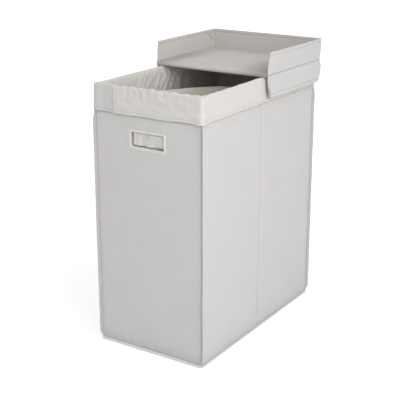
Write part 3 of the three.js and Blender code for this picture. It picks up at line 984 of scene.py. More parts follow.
def slot_frame(wall):
    """The moulded frame of one hand slot."""
    rows = []
    for out, d in SLOT_SECTION:
        ring = rounded_rectangle(slot_half_width + out, slot_half_height + out, SLOT_CORNER)
        rows.append(on_wall(wall, ring[:, 0], d, ring[:, 1] + slot_height))
    flat = grid(np.linspace(0, 320, len(ring) + 1), 1.5 * np.arange(len(SLOT_SECTION) + 1))[2]
    piece = sheet_piece(wall + "_slot_surround", np.array(rows), flat, True, True)
    piece.data.set_sharp_from_angle(angle=math.radians(60))
    lower = ring[:, 1] < 1 - slot_half_height
    # Painted shade: darker in the sleeve's recess, least on the left of its lower side, along the border's
    # outer edge and in the groove behind the bead.
    sleeve = np.where(lower, 0.8 * step_between(ring[:, 0], -10, 45), 0.7)
    shade_and_grime = []
    for out, d in SLOT_SECTION:
        border = 0.9 if out > 6.7 else 0.35 * bell(out, 3.3, 0.7)
        shade_and_grime.append(sleeve if out < 0.1 and d < 1.5 else np.full(len(ring), border))
    set_shade_and_grime(piece, np.concatenate(shade_and_grime))
    return piece


for wall in SLOT_WALLS:
    surround = slot_frame(wall)
    dress(surround, "hamper", slot_plastic, "handle_plastic", wall + "_handle_frame")
    print(surround.name, len(surround.data.polygons), "faces")

# %% [markdown]
# The liner's columns
#
# The cotton liner is one long band of cloth: up the inside of the walls, over the rim, and down the
# outside as a cuff. It is modelled as one loop of columns. They are closest in front, because the cuff
# has small gathers there, and then on the left, where the divider pulls folds into the wall.

# %% Plan the liner's columns
LAP_LEFT = -105.0
LAP_RIGHT = -88.0
LAP_EDGE = 1.2
CUFF_CORNER = 13.0
straight_front = cuff_high[0] - CUFF_CORNER
lap_edges = [LAP_LEFT - LAP_EDGE, LAP_LEFT, LAP_RIGHT, LAP_RIGHT + LAP_EDGE]
front_shares = stations(2.4, -straight_front, *lap_edges, straight_front) / straight_front
liner_plan = loop_plan(front_shares, stations(0.02, -1, 1), stations(0.035, -1, 1), stations(0.013, -1, 1), 7)
print("liner columns:", len(liner_plan))

# %% [markdown]
# Where the liner hangs
#
# Four things shape the liner inside: it hangs a little slack, so the walls bow inwards; it has soft
# upright folds; the divider's weight pulls slanting folds into the left wall, which run together at the
# divider's seam; and it sinks into the hand slots. The pulled folds are bell curves along curved lines,
# and each has a place at the rim, a height and a width.

# %% Shape the inside of the liner
divider_low, divider_high = box_mm("liner_divider")
liner_inside = box_mm("liner_right_panel")[0][0] + 0.6
liner_inside_long = box_mm("liner_back_panel")[0][1] + 0.6
liner_foot = box_mm("liner_right_panel")[0][2]
DIVIDER_LEFT = -72.0
DIVIDER_RIGHT = -40.0
PULLED_FOLDS = [
    (-172, 1.4, 12), (-139, 1.8, 10), (-108, 2.6, 9), (-84, 3.4, 8), (-57, 4.4, 7.5), (-38, 4.2, 6),
    (-12, 5.6, 7.5), (16, 5.4, 8.5), (40, 4.8, 8), (74, 3.8, 10), (108, 2.8, 12),
]
FOLD_SHIFT = 22.0
FOLD_SLANT = 76.0
FOLD_SLANT_FALL = 46.0
BOW = 3.0
SLOT_SINK = 8.4


def near_side(x):
    """1 in the liner's wall on the side that x points to, 0 elsewhere."""
    return step_between(x, liner_inside - 12, liner_inside - 4)


def pulled_folds(x, y, z):
    """How far the folds in the left wall stand in, for the height z."""
    down = rim_height - z
    slant = FOLD_SLANT * (1 - np.exp(-down / FOLD_SLANT_FALL))
    pulled = 1.1 * ripple(y + 0.8 * z, z * 0.5, 17, 43) * bell(y, -60, 150)
    for start, height, width in PULLED_FOLDS:
        gathered = (start - DIVIDER_LEFT) * 0.0012 * down
        line = start + FOLD_SHIFT - slant - gathered + 2.4 * np.sin(down / 8 + start)
        pulled = pulled + height * bell(y, line, width * (0.8 + 0.4 * np.sin(start) ** 2))
    fade = step_between(down, -3, 12) * (1 - step_between(down, 90, 190))
    return pulled * fade * near_side(-x)


def slack_inside(x, y, z, lengths):
    """How far the liner's wall hangs in from the CAD panel, in millimetres."""
    down = rim_height - z
    loose = step_between(down, 8, 90) * step_between(z, 8, 80)
    bow = BOW * np.sin(np.pi * np.clip(z / rim_height, 0, 1)) * loose
    folds = 1.5 * (1 + ripple(lengths, z * 0.08, 55, 41)) * loose
    creases = 0.7 * ripple(lengths, z, 45, 42) * loose
    at_seam = near_side(-x) * bell(y, DIVIDER_LEFT, 22) + near_side(x) * bell(y, DIVIDER_RIGHT, 22)
    hang = (bow + folds + creases) * (1 - np.clip(at_seam, 0, 1))
    shallow = np.clip(at_seam, 0, 1) * step_between(down, 50, 75)
    in_slot = step_between(np.abs(y), liner_inside_long - 8, liner_inside_long - 2)
    in_slot = in_slot * step_between(slot_half_width - np.abs(x), 0, 4)
    loose_end = 2 + 6 * step_between(x, -5, 40) * (z < slot_height)
    in_slot = in_slot * step_between(slot_half_height - np.abs(z - slot_height), 0, loose_end)
    pulled = pulled_folds(x, y, z) * (1 - shallow)
    return hang + pulled - (SLOT_SINK + 0.8 * ripple(x, z, 24, 44)) * in_slot


print("folds pulled into the left wall:", len(PULLED_FOLDS))

# %% [markdown]
# The rim and the cuff
#
# Over the rim the cloth stands up in small waves. The cuff hangs outside, a little away from the wall,
# with a lapped upright seam near the front wall's left end and gathers to the right of it. Its hem is
# turned in and stitched. One slanting crease crosses the front cuff near the corner. Each wave and
# gather in the lists has a place, a width and a height.

# %% Shape the rim and the cuff
CUFF_DROP = 70.0
CREST = 739.5
RIM_WAVES = [
    (-120, 14, 0.5), (-76, 8, 1.4), (-59, 6, -1.2), (-44, 6, 1.8), (-33, 4, -1.8), (-20, 6, 1.5),
    (-4, 5, -1.6),
    (12, 7, 1.6), (27, 5, -1.4), (44, 9, 1.0), (63, 6, -1.0), (84, 9, 1.6), (101, 5, -1.8), (119, 7, 1.8),
    (135, 5, -1.4), (152, 7, 2.4), (172, 6, -2.4),
]
SIDE_WAVES = [
    (-307, 6, -2.4), (-287, 7, 2.4), (-272, 5, -1.4), (-258, 8, 1.8), (-241, 5, -1.6), (-224, 8, 1.4),
    (-203, 7, -1.0), (-180, 10, 1.1), (-152, 9, -0.9), (-120, 12, 0.9),
]
GATHERS = [
    (-84, 3.5, 0.7), (-72, 3.4, 1.1), (-62, 2.8, -0.8), (-51, 3.8, 1.5), (-42, 2.6, -0.9), (-33, 3.6, 1.3),
    (-22, 3.0, -1.1), (-12, 3.8, 1.2), (2, 3.2, -0.7), (14, 5.5, 0.9), (38, 6.5, 0.9), (54, 4.0, -0.7),
    (70, 7.0, 0.9), (88, 4.5, -0.6), (101, 6.0, 0.9), (128, 7.0, 0.8),
]


def front_only(y):
    """1 on the front wall's part of the loop, 0 elsewhere."""
    return step_between(-y, half_length - 20, half_length - 8)


def rim_crest(x, y):
    """The height of the cloth's crest over the rim."""
    front = front_only(y)
    on_right = step_between(x, half_width - 20, half_width - 8)
    crest = CREST + 0.45 * ripple(x, y, 60, 51) + (0.4 + 0.35 * front) * ripple(x, y, 14, 52) + 0.9 * front
    for centre, width, height in RIM_WAVES:
        crest = crest + height * bell(x, centre, width) * front
    for centre, width, height in SIDE_WAVES:
        crest = crest + height * bell(y, centre, width) * on_right
    under_lid = y > -20
    return np.clip(crest, rim_height + 0.7, np.where(under_lid, cuff_top - 0.1, cuff_top + 2.6))


def corner_only(x, y):
    """1 at the corners of the cuff, 0 further than 32 mm away from one."""
    by_end = step_between(np.abs(x), half_width - 32, half_width - 6)
    return by_end * step_between(np.abs(y), half_length - 32, half_length - 6)


def cuff_stand(x, y, u, lengths):
    """How far the cuff stands out from the wall's plane; u is 0 at the rim and 1 at the hem."""
    front = front_only(y)
    down = CUFF_DROP * u
    stand = 3.0 + 1.8 * step_between(u, 0.0, 0.9) + 0.45 * ripple(lengths, down * 0.4, 80, 61) * u
    at_left_end = step_between(-x, half_width - 60, half_width - 30)
    calm = 1 - 0.8 * at_left_end * step_between(-y, half_length - 70, half_length - 40)
    stand = stand + (0.35 + 0.4 * front) * ripple(lengths * 0.3, down, 18, 62) * math.sin(math.pi * u) * calm
    crumple = ripple(x + 0.8 * down, 1.6 * down, 15, 63) * math.exp(-u / 0.3) * min(1.0, u / 0.08)
    stand = stand + 0.8 * np.maximum(crumple, -1) * front * calm
    gathers = np.zeros(np.broadcast(x, u).shape)
    for centre, width, height in GATHERS:
        line = centre + 0.13 * down * math.sin(centre)
        fall = math.exp(-u / (0.16 + 0.14 * math.cos(centre) ** 2))
        gathers = gathers + height * fall * bell(x, line, width * (1 + u))
    stand = stand + 1.5 * np.maximum(gathers, -0.9) * front
    stand = stand + corner_only(x, y) * (1.5 + 1.5 * u)
    lap = step_between(x, LAP_LEFT - LAP_EDGE, LAP_LEFT)
    lap = lap * (1 - step_between(x, LAP_RIGHT, LAP_RIGHT + LAP_EDGE))
    stand = stand + (1.2 - 0.5 * bell(x, (LAP_LEFT + LAP_RIGHT) / 2, 4)) * lap * front
    stand = stand - 0.7 * step_between(-x, -LAP_LEFT - 2, -LAP_LEFT + 4) * front * (1 - corner_only(x, y))
    crease = (x - 84) * 0.30 - (down - 42)
    at_crease = bell(crease, 0, 5.0) - 0.6 * bell(crease, -10, 7.0)
    held = 1 - step_between(u, 0.8, 0.87)
    return stand - 0.9 * at_crease * held * front * step_between(x, 60, 92) * (1 - step_between(x, 138, 158))


def hem_drop(x, y):
    """How far the hem sags below the CAD cuff's lower edge."""
    front = front_only(y)
    sag = HEM_SAG * front * np.sin(np.pi * np.clip((x + half_width) / (2 * half_width), 0, 1))
    return sag + 0.8 * ripple(x, y, 110, 71) + 0.3 * ripple(x, y, 35, 72) + 1.2 * corner_only(x, y)


print("gathers:", len(GATHERS), "rim waves:", len(RIM_WAVES))

# %% [markdown]
# Sewing the band
#
# The rows of the table follow the band: up the inside in wide steps that get closer near the rim, then
# over the rim, down the cuff, round the hem's fold and a short way up behind it. A greyer patch, left of
# the lapped seam and a little way round the corner, is a finish of its own.

# %% Name the sizes of the band
HEM_WIDTH = 9.0
HEM_THREAD_DEPTH = 0.45
CUFF_ROWS = 26
FOLDED_ROWS = 6
PATCH_BACK = 55.0
CLOSE_ROWS_FROM = 560
BEND_FROM = 716
RIM_BEND = [
    (-9.6, 0.45), (-8.0, 0.72), (-6.6, 0.9), (-5.0, 0.985), (-2.6, 1.0), (-0.2, 0.995), (1.3, 0.965),
    (2.5, 0.9),
]
CUFF_LENGTH = 68.0
stitch_share = 1 - HEM_WIDTH / CUFF_LENGTH
print("the hem's stitches are", round(100 * stitch_share), "% down the cuff")

# %% Sew the liner's band
def band_inside():
    """The band's rows from its foot up to where it starts to bend over the rim."""
    for z in runs((22, liner_foot, CLOSE_ROWS_FROM), (4, CLOSE_ROWS_FROM, BEND_FROM)):
        radius = 10 + 12 * float(step_between(rim_height - z, 0, 90))
        places, outward = loop_points(liner_plan, liner_inside, liner_inside_long, radius)
        lengths = loop_lengths(places)
        slack = slack_inside(places[:, 0], places[:, 1], z, lengths[:-1])
        spot = places - outward * slack[:, None]
        yield np.column_stack([spot, np.full(len(spot), z)]), lengths


def band_over_rim():
    """The band's rows over the rim. RIM_BEND gives the way out from the wall and the share of the crest."""
    for d, share in RIM_BEND:
        radius = 3.0 + 8.0 * min(1.0, max(0.0, -d / 9.6))
        places, outward = loop_points(liner_plan, half_width + d, half_length + d, radius)
        places = places + outward * (corner_only(places[:, 0], places[:, 1]) * max(0.0, d) * 0.6)[:, None]
        crest = rim_crest(places[:, 0], places[:, 1])
        z = BEND_FROM + (crest - BEND_FROM) * share
        folds = pulled_folds(places[:, 0], places[:, 1], z) * min(1.0, max(0.0, (-d - 1) / 6))
        yield np.column_stack([places - outward * folds[:, None], z]), loop_lengths(places)


def liner_band():
    """The liner's band as a sheet, its table of points, and its hem's stitch path."""
    made = list(band_inside()) + list(band_over_rim())
    hem_path = None
    start = made[-1][0][:, 2]
    for u in np.linspace(0.05, 1, CUFF_ROWS):
        outer, outward = loop_points(liner_plan, half_width + 1, half_length + 1, 3.0 + 3.0 * u)
        lengths = loop_lengths(outer)
        hem = cuff_hem_height - hem_drop(outer[:, 0], outer[:, 1])
        stand = cuff_stand(outer[:, 0], outer[:, 1], u, lengths[:-1]) - 1
        stand = stand - HEM_THREAD_DEPTH * bell(u, stitch_share, 0.022)
        stand = stand + 0.25 * step_between(u, stitch_share, 0.9)
        spot = outer + outward * stand[:, None]
        made.append((np.column_stack([spot, start + (hem - start) * u]), lengths))
        if hem_path is None and u >= stitch_share - 0.01:
            hem_path = np.column_stack([spot + outward * 0.15, start + (hem - start) * u])
    edge = made[-1][0]
    folded = [(edge, 0.35, -0.5), (edge, 1.0, -0.65), (edge, 1.55, -0.2)]
    folded += [(row, 1.7, 0.0) for row, _ in made[-2:-5:-1]]
    for row, inward, raise_by in folded:
        made.append((np.column_stack([row[:, :2] - outward * inward, row[:, 2] + raise_by]), lengths))
    table = np.array([row for row, _ in made])
    flat = np.stack([np.column_stack([lengths, np.full(len(lengths), far)])
                     for (_, lengths), far in zip(made, distances(table))])
    piece = sheet_piece("liner_band", table, flat, round_columns=True)
    left_of_lap = (table[-8, :, 0] < LAP_LEFT - 0.5) & (table[-8, :, 1] < PATCH_BACK - half_length)
    on_cuff = np.arange(len(table) - 1) >= len(table) - CUFF_ROWS - 8
    two_finishes(piece, liner_cotton, cuff_patch, on_cuff[:, None] & left_of_lap[None, :])
    hem_row = len(table) - FOLDED_ROWS - 1
    # Painted shade: the hem's turned-under rows and its fold line are darker, as the shadow under the hem,
    # and the stitch row a little.
    shade_and_grime = np.zeros(table.shape[:2])
    shade_and_grime[hem_row + 1:] = 0.9
    shade_and_grime[hem_row] = 0.35
    shade_and_grime[hem_row - round((1 - stitch_share) / 0.95 * (CUFF_ROWS - 1))] = 0.12
    set_shade_and_grime(piece, shade_and_grime)
    ways = closed(np.column_stack([outward, np.zeros(len(outward))]))
    return piece, table, [(closed(hem_path) + 0.6 * ways, ways)]


band, band_table, band_rows = liner_band()
thicken(band, 0.7, side=1.0)
liner_nodes = ["liner_" + wall + kind for wall in WALLS for kind in ("_panel", "_cuff")]
dress(band, "liner", None, "liner_cotton", *liner_nodes)
print("liner band faces:", len(band.data.polygons))

# %% [markdown]
# The liner's seams
#
# Stitches run along the hem of the cuff and down both edges of the lapped seam. The places come from the
# band's own table, so the thread lies on the cloth wherever the cloth went.

# %% Stitch the liner
LAP_STITCH_INSET = 2.2
on_front = [k for k, (wall, kind, _) in enumerate(liner_plan) if wall == "front" and kind == "straight"]
cuff_rows = band_table[-CUFF_ROWS - FOLDED_ROWS + 1:-FOLDED_ROWS - 1]
for edge in (LAP_LEFT + LAP_STITCH_INSET, LAP_RIGHT - LAP_STITCH_INSET):
    path = [[np.interp(edge, row[on_front, 0], row[on_front, k]) for k in range(3)] for row in cuff_rows]
    band_rows.append((np.array(path) + np.array((0, -0.75, 0)), (0, -1, 0)))
liner_stitches = sew("liner_stitches", band_rows, "liner", "liner_cotton", FINE_THREAD)
print("liner stitch faces:", len(liner_stitches.data.polygons))

# %% [markdown]
# The divider and the liner's base
#
# The divider is a slack curtain across the liner, sewn to both side walls. It hangs in a bow towards the
# rear bin, widest at its hem. The formula is the CAD solid's own bow, with folds on top. The base is a
# plain rectangle of cotton that lies on the loose board.

# %% Hang the divider
DIVIDER_SLACK = 150.0
divider_foot = divider_low[2]
divider_top = divider_high[2]


def divider_bow(share, rise):
    """How far back the divider hangs, from the share of the width and of the height."""
    shift = DIVIDER_LEFT + (DIVIDER_RIGHT - DIVIDER_LEFT) * share
    bow = shift + DIVIDER_SLACK * np.sin(np.pi * np.clip(share, 0, 1)) ** 1.2
    return np.sin(rise * np.pi / 2) * bow


def hang_divider():
    """The divider as one sheet with a turned hem, its bowed width and its stitch path."""
    heights = runs((24, divider_foot, 560), (6, 560, divider_top))
    rise = (heights - divider_foot) / (divider_top - divider_foot)
    across, up, _ = grid(np.linspace(0, 1, 90), rise)
    free = np.clip(np.sin(np.pi * across), 0, 1) ** 0.5 * step_between(up, 0.02, 0.3)
    folds = 1.6 * ripple(across * 400, up * 40, 42, 81) + 0.5 * ripple(across * 400, up * 600, 30, 82)
    x = (across * 2 - 1) * (liner_inside - 1.0)
    y = divider_bow(across, up) + folds * free
    y = y + 11.0 * free * np.clip((up - 0.87) / 0.13, 0, 1) ** 2
    z = divider_foot + up * (divider_top - divider_foot)
    points = np.stack([x, y, z], axis=-1)
    turned_in = np.array([(0, 0.5, 0.35), (0, 1.3, 0.2), (0, 1.7, -2.0), (0, 1.8, -12.0)])
    points = np.concatenate([points, points[-1] + turned_in[:, None]])
    width = distances(points[-5])
    piece = sheet_piece("divider_curtain", points, grid(width, distances(points))[2])
    hem = points[-7] + np.array((0, -0.45, 0))
    return piece, width[-1], [(hem[2:-2], (0, -1, 0.1))]


divider, divider_width, divider_rows = hang_divider()
thicken(divider, 0.7, side=0.0)
dress(divider, "liner", divider_cotton_lightened, "liner_cotton", "liner_divider")
sew("divider_stitches", divider_rows, "liner", "liner_cotton", FINE_THREAD)
print("divider", round(divider_width), "mm wide along its hem")

# %% Lay the liner's base
BASE_HALF_WIDTH = 154
BASE_HALF_LENGTH = 289
across, along, flat = grid(
    stations(8, -BASE_HALF_WIDTH, BASE_HALF_WIDTH),
    stations(8, -BASE_HALF_LENGTH, BASE_HALF_LENGTH),
)
edge = np.minimum(BASE_HALF_WIDTH - np.abs(across), BASE_HALF_LENGTH - np.abs(along))
puffed = 5.2 + 0.9 * (1 + ripple(across, along, 60, 91)) * step_between(edge, 0, 30)
liner_floor = sheet_piece("liner_floor", np.stack([across, along, puffed], axis=-1), flat)
thicken(liner_floor, 0.7, side=1.0)
dress(liner_floor, "liner", liner_cotton, "liner_cotton", "liner_base")
print("liner base faces:", len(liner_floor.data.polygons))

# %% [markdown]
# The lid's two halves
#
# The lid is two boards in cloth that share a fold. Both halves are made alike, each from the fold
# outwards: x across, u away from the fold, w out through the top face. In the photograph the front half
# lies upside down on the rear half, so it is the same shape with w turned over. The skirts aren't quite
# the same: a table says how round the corners are at the root and at the free edge, and how far the
# sides flare and the end bellies.

# %% Describe the lid halves
HALVES = {
    "rear": {"turn": 1.0, "body": "rear_lid", "corner": (4.0, 24.0), "side_flare": 6.0, "end_flare": 9.0,
             "end_peak": 0.36, "end_free": -1.0, "seed": 200},
    "front": {"turn": -1.0, "body": "front_lid", "corner": (4.0, 7.0), "side_flare": 4.5, "end_flare": 1.5,
              "end_peak": 0.6, "end_free": 2.5, "seed": 230},
}
skirt_low, skirt_high = box_mm("rear_lid_right_skirt")
skirt_root = fold_height - skirt_high[2]
skirt_free = fold_height - skirt_low[2]
skirt_thickness = skirt_high[0] - skirt_low[0]
lining_top = fold_height - box_mm("rear_lid_lining")[0][2]


def in_lid(half, x, u, w):
    """Points of a lid half at rest, from the half's own coordinates."""
    x, u, w = np.broadcast_arrays(np.asarray(x, float), np.asarray(u, float), np.asarray(w, float))
    return np.stack([x, u, fold_height + HALVES[half]["turn"] * w], axis=-1)


print("skirt from", round(skirt_root, 2), "to", round(skirt_free, 2), "mm below the fold")

# %% [markdown]
# The skirt's path
#
# Each skirt runs from the fold along one side, round the end and back along the other side. It flares a
# little towards its free edge, its near edges lean away from the fold, and its corners get rounder
# lower down, most of all on the rear half. A row of the table is this path at one depth.

# %% Define the skirt's path
SIDE_COLUMNS = 44
END_COLUMNS = 44
CORNER_COLUMNS = 9
NEAR_START = 2.9
NEAR_LEAN = 7.0
NEAR_FLARE = 0.4
END_CAP = ((0.0, 1.0), (0.5, 0.87), (0.87, 0.5))
CAP = len(END_CAP)


def skirt_share(w):
    """The depth w as a share of the way from the skirt's root, 0, to its free edge, 1."""
    return (w - skirt_root) / (skirt_free - skirt_root)


def skirt_path(half, depth_share, inset):
    """The place (x, u) and outward way of each column at one depth, inset from the outer face.

    The first and last columns round off the near edges, where both faces meet in the middle.
    """
    facts = HALVES[half]
    seed = facts["seed"]
    peak = facts["end_peak"]
    t = float(np.clip(depth_share, 0, 1))
    radius = facts["corner"][0] + (facts["corner"][1] - facts["corner"][0]) * t ** 1.5
    near = NEAR_START + NEAR_LEAN * t
    flare = facts["side_flare"] * t ** 1.3
    side = lid_half_width + flare
    if t < peak:
        belly = math.sin(math.pi / 2 * (t / peak))
    else:
        belly = math.cos(math.pi / 2 * (t - peak) / (1 - peak))
    end = lid_half_length + facts["end_flare"] * belly + facts["end_free"] * t
    inner = radius - inset
    middle = skirt_thickness / 2
    places = []
    for closing, ahead in END_CAP:
        x = lid_half_width + flare * NEAR_FLARE - middle - (inset - middle) * closing
        places.append((x, near - 1.7 * ahead))
    for u in np.linspace(near, end - radius, SIDE_COLUMNS):
        flared = NEAR_FLARE + (1 - NEAR_FLARE) * step_between(u, near, 90)
        places.append((lid_half_width + flare * flared - inset, u))
    ways = [(1.0, 0.0)] * len(places)
    for k in range(1, CORNER_COLUMNS + 1):
        angle = math.pi / 2 * k / (CORNER_COLUMNS + 1)
        places.append((side - radius + inner * math.cos(angle), end - radius + inner * math.sin(angle)))
        ways.append((math.cos(angle), math.sin(angle)))
    mirrored = [(-x, u) for x, u in reversed(places)]
    mirrored_ways = [(-x, u) for x, u in reversed(ways)]
    for x in np.linspace(side - radius, -(side - radius), END_COLUMNS):
        places.append((x, end - inset))
        ways.append((0.0, 1.0))
    places = np.array(places + mirrored)
    ways = np.array(ways + mirrored_ways)
    wave = 0.5 * ripple(places[:, 0], places[:, 1], 150, seed) * t
    wave = wave + 0.12 * ripple(places[:, 0], places[:, 1] + 200 * t, 30, seed + 1)
    return places + ways * wave[:, None], ways


def skirt_row(half, w, inset):
    """One row of points at the depth w, and the outward way of each."""
    places, ways = skirt_path(half, skirt_share(w), inset)
    return in_lid(half, places[:, 0], places[:, 1], -w), ways


print("skirt columns:", 2 * SIDE_COLUMNS + 2 * CORNER_COLUMNS + END_COLUMNS)

# %% [markdown]
# The skirt's cloth
#
# The skirt is a strip of cloth doubled over a thin stiffener. Nine millimetres above its free edge it is
# stitched through, so both faces draw in there and the hem below stands out as a soft band. The cloth
# is one sheet: down the outer face, round the free edge and up the inner face. It is painted darker
# in the stitch line and at its root, as shade. The rear half's near edges hang beside the cuff, and are
# painted dark there as the shadow in the gap, most of all low down.

# %% Sew the skirts
HEM = 9.0
SKIRT_CLOTH = 0.7
NEAR_HEM = 10.0


def hem_inset(w):
    """How far both faces draw in at a depth w: none over the stiffener, most at the stitch line."""
    to_edge = skirt_free - w
    stitched = 1.2 * bell(to_edge, HEM, 1.7)
    thin = 0.45 * step_between(-to_edge, -HEM - 1.0, -HEM + 2.0)
    top_roll = 0.9 * (1 - step_between(w, 0.5, 3.5))
    return stitched + thin + top_roll


def sew_skirt(half):
    """The skirt of one lid half as a sheet, and the paths of its stitches."""
    depths = np.concatenate([
        [0.6, skirt_root, skirt_root + 1.0, skirt_root + 2.2],
        stations(5, 5.0, skirt_free - HEM - 3),
        stations(1.0, skirt_free - HEM - 2, skirt_free - HEM + 3),
        stations(1.8, skirt_free - HEM + 4.5, skirt_free - 1.0),
    ])
    facts = HALVES[half]
    faces = []
    for inner in (False, True):
        rows = []
        for w in depths:
            inset = float(hem_inset(w))
            rows.append(skirt_row(half, w, skirt_thickness - inset if inner else inset)[0])
        faces.append(rows)
    outer, inner = faces
    places, ways = skirt_path(half, 1.0, skirt_thickness / 2)
    edge = [in_lid(half, places[:, 0] + ways[:, 0] * d, places[:, 1] + ways[:, 1] * d, -skirt_free + up)
            for d, up in ((0.85, 0.25), (0.0, 0.0), (-0.85, 0.25))]
    table = np.array(outer + edge + inner[::-1])
    width = distances(table[4])
    height = distances(table)
    flat = grid(width, height)[2]
    piece = sheet_piece(half + "_lid_skirt_cloth", table, flat, turned=facts["turn"] < 0)
    # Painted shade in the hem's stitch line and at the root.
    seam = [max(0.6 * bell(skirt_free - w, HEM, 1.1), 0.25 * bell(w, skirt_root, 1.5)) for w in depths]
    seam = seam + [0.25, 0.15, 0.25] + seam[::-1]
    shade = np.repeat(np.array(seam)[:, None], table.shape[1], axis=1)
    if half == "rear":
        # A painted shadow on the rear half's near edges, from the gap beside the cuff, darkest low down.
        gap_shade = [0.3 + 0.7 * step_between(w, 25, 45) for w in depths]
        gap_shade = np.array(gap_shade + [1.0, 1.0, 1.0] + gap_shade[::-1])[:, None]
        shade[:, :CAP + 1] = gap_shade
        shade[:, -CAP - 1:] = gap_shade
    set_shade_and_grime(piece, shade)
    inner_rows = np.arange(len(table) - 1) >= len(outer) + 2
    two_finishes(piece, outer_cloth, lid_lining, np.repeat(inner_rows, table.shape[1] - 1))
    stitch_depth = skirt_free - HEM
    rows = []
    for inset, sign in ((float(hem_inset(stitch_depth)) - 0.1, 1), (skirt_thickness - 0.85, -1)):
        path, ways = skirt_row(half, stitch_depth, inset)
        rows.append((path, np.column_stack([sign * ways, np.zeros(len(ways))])))
    for column, inwards in ((CAP, -1.0), (-CAP - 1, 1.0)):
        upright = [skirt_row(half, w, skirt_thickness + 0.1)[0][column] for w in stations(4, 4, stitch_depth)]
        rows.append((np.array(upright) + np.array((0, NEAR_HEM, 0)), (inwards, 0, 0)))
    return piece, width[-1], height[-1], rows


for half, facts in HALVES.items():
    skirt, length, height, rows = sew_skirt(half)
    thicken(skirt, SKIRT_CLOTH)
    nodes = [half + "_lid_" + side + "_skirt" for side in ("right", "left", "end")]
    dress(skirt, facts["body"], None, "outer_cloth", *nodes)
    sew(half + "_lid_stitches", rows, facts["body"], "outer_cloth")
    print(skirt.name, "cut", round(length), "x", round(height), "mm")

# %% [markdown]
# The stiffeners
#
# The skirts stand up by themselves because a strip of card is in each. The card follows the flare of the
# cloth, so it is bent here in the same way, with room for the cloth on both sides.

# %% Bend the stiffeners
CARD = 1.2
BEFORE_END = CAP + SIDE_COLUMNS + CORNER_COLUMNS
STIFFENERS = {
    "right": slice(CAP + 1, CAP + SIDE_COLUMNS),
    "end": slice(BEFORE_END, BEFORE_END + END_COLUMNS),
    "left": slice(-CAP - SIDE_COLUMNS, -CAP - 1),
}


def bend_stiffener(half, side):
    """One strip of card inside the skirt."""
    depths = stations(8, skirt_root + 0.6, skirt_free - HEM - 1.2)
    table = np.array([skirt_row(half, w, skirt_thickness / 2)[0][STIFFENERS[side]] for w in depths])
    flat = np.zeros(table.shape[:2] + (2,))
    piece = sheet_piece(half + "_lid_" + side + "_card", table, flat, turned=HALVES[half]["turn"] < 0)
    return thicken(piece, CARD, side=0.0)


for half, facts in HALVES.items():
    for side in STIFFENERS:
        card = bend_stiffener(half, side)
        dress(card, facts["body"], grey_board, "board", half + "_lid_" + side + "_stiffener")
print("stiffeners:", 2 * len(STIFFENERS))

# %% [markdown]
# The top cloth and the lining
#
# The top cloth is drawn tight over the board and rolls down to the skirt's seam on three sides. The
# lining covers the other side of the board. In the folded-back half it is the floor of the tray: it
# swells like a flat pillow, puffs up more beside the fold, and rises in a soft fillet where it meets the
# skirts. Its colour is painted darker in the corners that it makes with them, as shade, most of all
# beside the right skirt, near the fold.

# %% Sew the top cloth and the lining
LIP_PUFF = 4.5
PILLOW = 4.0
lining_inner_width = skirt_low[0] - 0.4
lining_inner_length = lid_half_length - skirt_thickness - 0.4


def lid_top(half):
    """The outer cloth over one lid board."""
    wide = lid_half_width
    long = lid_half_length
    x = stations(7, -wide + 0.8, -wide + 3, -wide + 8, wide - 8, wide - 3, wide - 0.8)
    u = stations(7, 1.0, long - 8, long - 3, long - 0.8)
    across, along, flat = grid(x, u)
    edge = np.minimum(wide - np.abs(across), long - along)
    roll = 1.3 * np.clip(1 - edge / 3.2, 0, 1) ** 2
    dips = 0.08 * (1 + np.tanh(ripple(across, along, 70, HALVES[half]["seed"] + 5)))
    w = -0.2 - roll - dips * step_between(edge, 3, 12)
    points = in_lid(half, across, along, w)
    return thicken(sheet_piece(half + "_lid_top_cloth", points, flat, turned=HALVES[half]["turn"] < 0), 0.7)


def corner_shade(x, u):
    """How much darker the lining is painted, as shade, in the corners that it makes with the skirts."""
    by_fold = 1 - 0.6 * step_between(u, 110, 250)
    right = (1 - step_between(lining_inner_width - x, 0, 125)) * by_fold
    left = 0.75 * (1 - step_between(lining_inner_width + x, 0, 80)) * by_fold
    end = 0.3 * (1 - step_between(lining_inner_length - u, 0, 130))
    return np.maximum(np.maximum(right, left), end)


def lid_underside(half):
    """The lining under one lid board, which is the tray's floor when the half is folded back."""
    wide = lining_inner_width
    long = lining_inner_length
    x = stations(6, -wide, -wide + 6, wide - 6, wide)
    across, along, flat = grid(x, stations(4, 3.0, 80, long - 6, long))
    edge = np.minimum(wide - np.abs(across), long - along)
    fillet = 3.2 * np.clip(1 - edge / 5.0, 0, 1) ** 2
    slack = 0.9 * (1 + 0.8 * ripple(across, along, 110, HALVES[half]["seed"] + 7))
    free = step_between(edge, 26, 70) * step_between(along, 12, 60)
    crescent = 46 - 26 * np.clip((across + 150) / 330, 0, 1)
    puff = LIP_PUFF * bell(along, crescent, 22) * step_between(wide - np.abs(across), 8, 90)
    pillow = PILLOW * step_between(edge, 24, 95) * step_between(along, 5, 60)
    w = -lining_top - 0.05 - fillet - np.clip(slack, 0, 3) * free - puff * step_between(along, 5, 26) - pillow
    points = in_lid(half, across, along, w)
    piece = sheet_piece(half + "_lid_underside", points, flat, turned=HALVES[half]["turn"] > 0)
    # Painted shade in the corners that the lining makes with the skirts.
    set_shade_and_grime(piece, corner_shade(across, along))
    return thicken(piece, 0.5)


for half, facts in HALVES.items():
    top = dress(lid_top(half), facts["body"], outer_cloth, "outer_cloth", half + "_lid_cover")
    under = dress(lid_underside(half), facts["body"], lid_lining, "lining", half + "_lid_lining")
    print(top.name, under.name)

# %% [markdown]
# The fold of the lid
#
# Along the fold the lining runs from one half to the other as a soft rounded lip, shaped for the
# halves at rest. A rolled seam inside the lip marks the axis itself.

# %% Sew the lip
LIP_MARGIN = 15.0
LIP_START = 1.0
LIP_HALF_LENGTH = 152.0


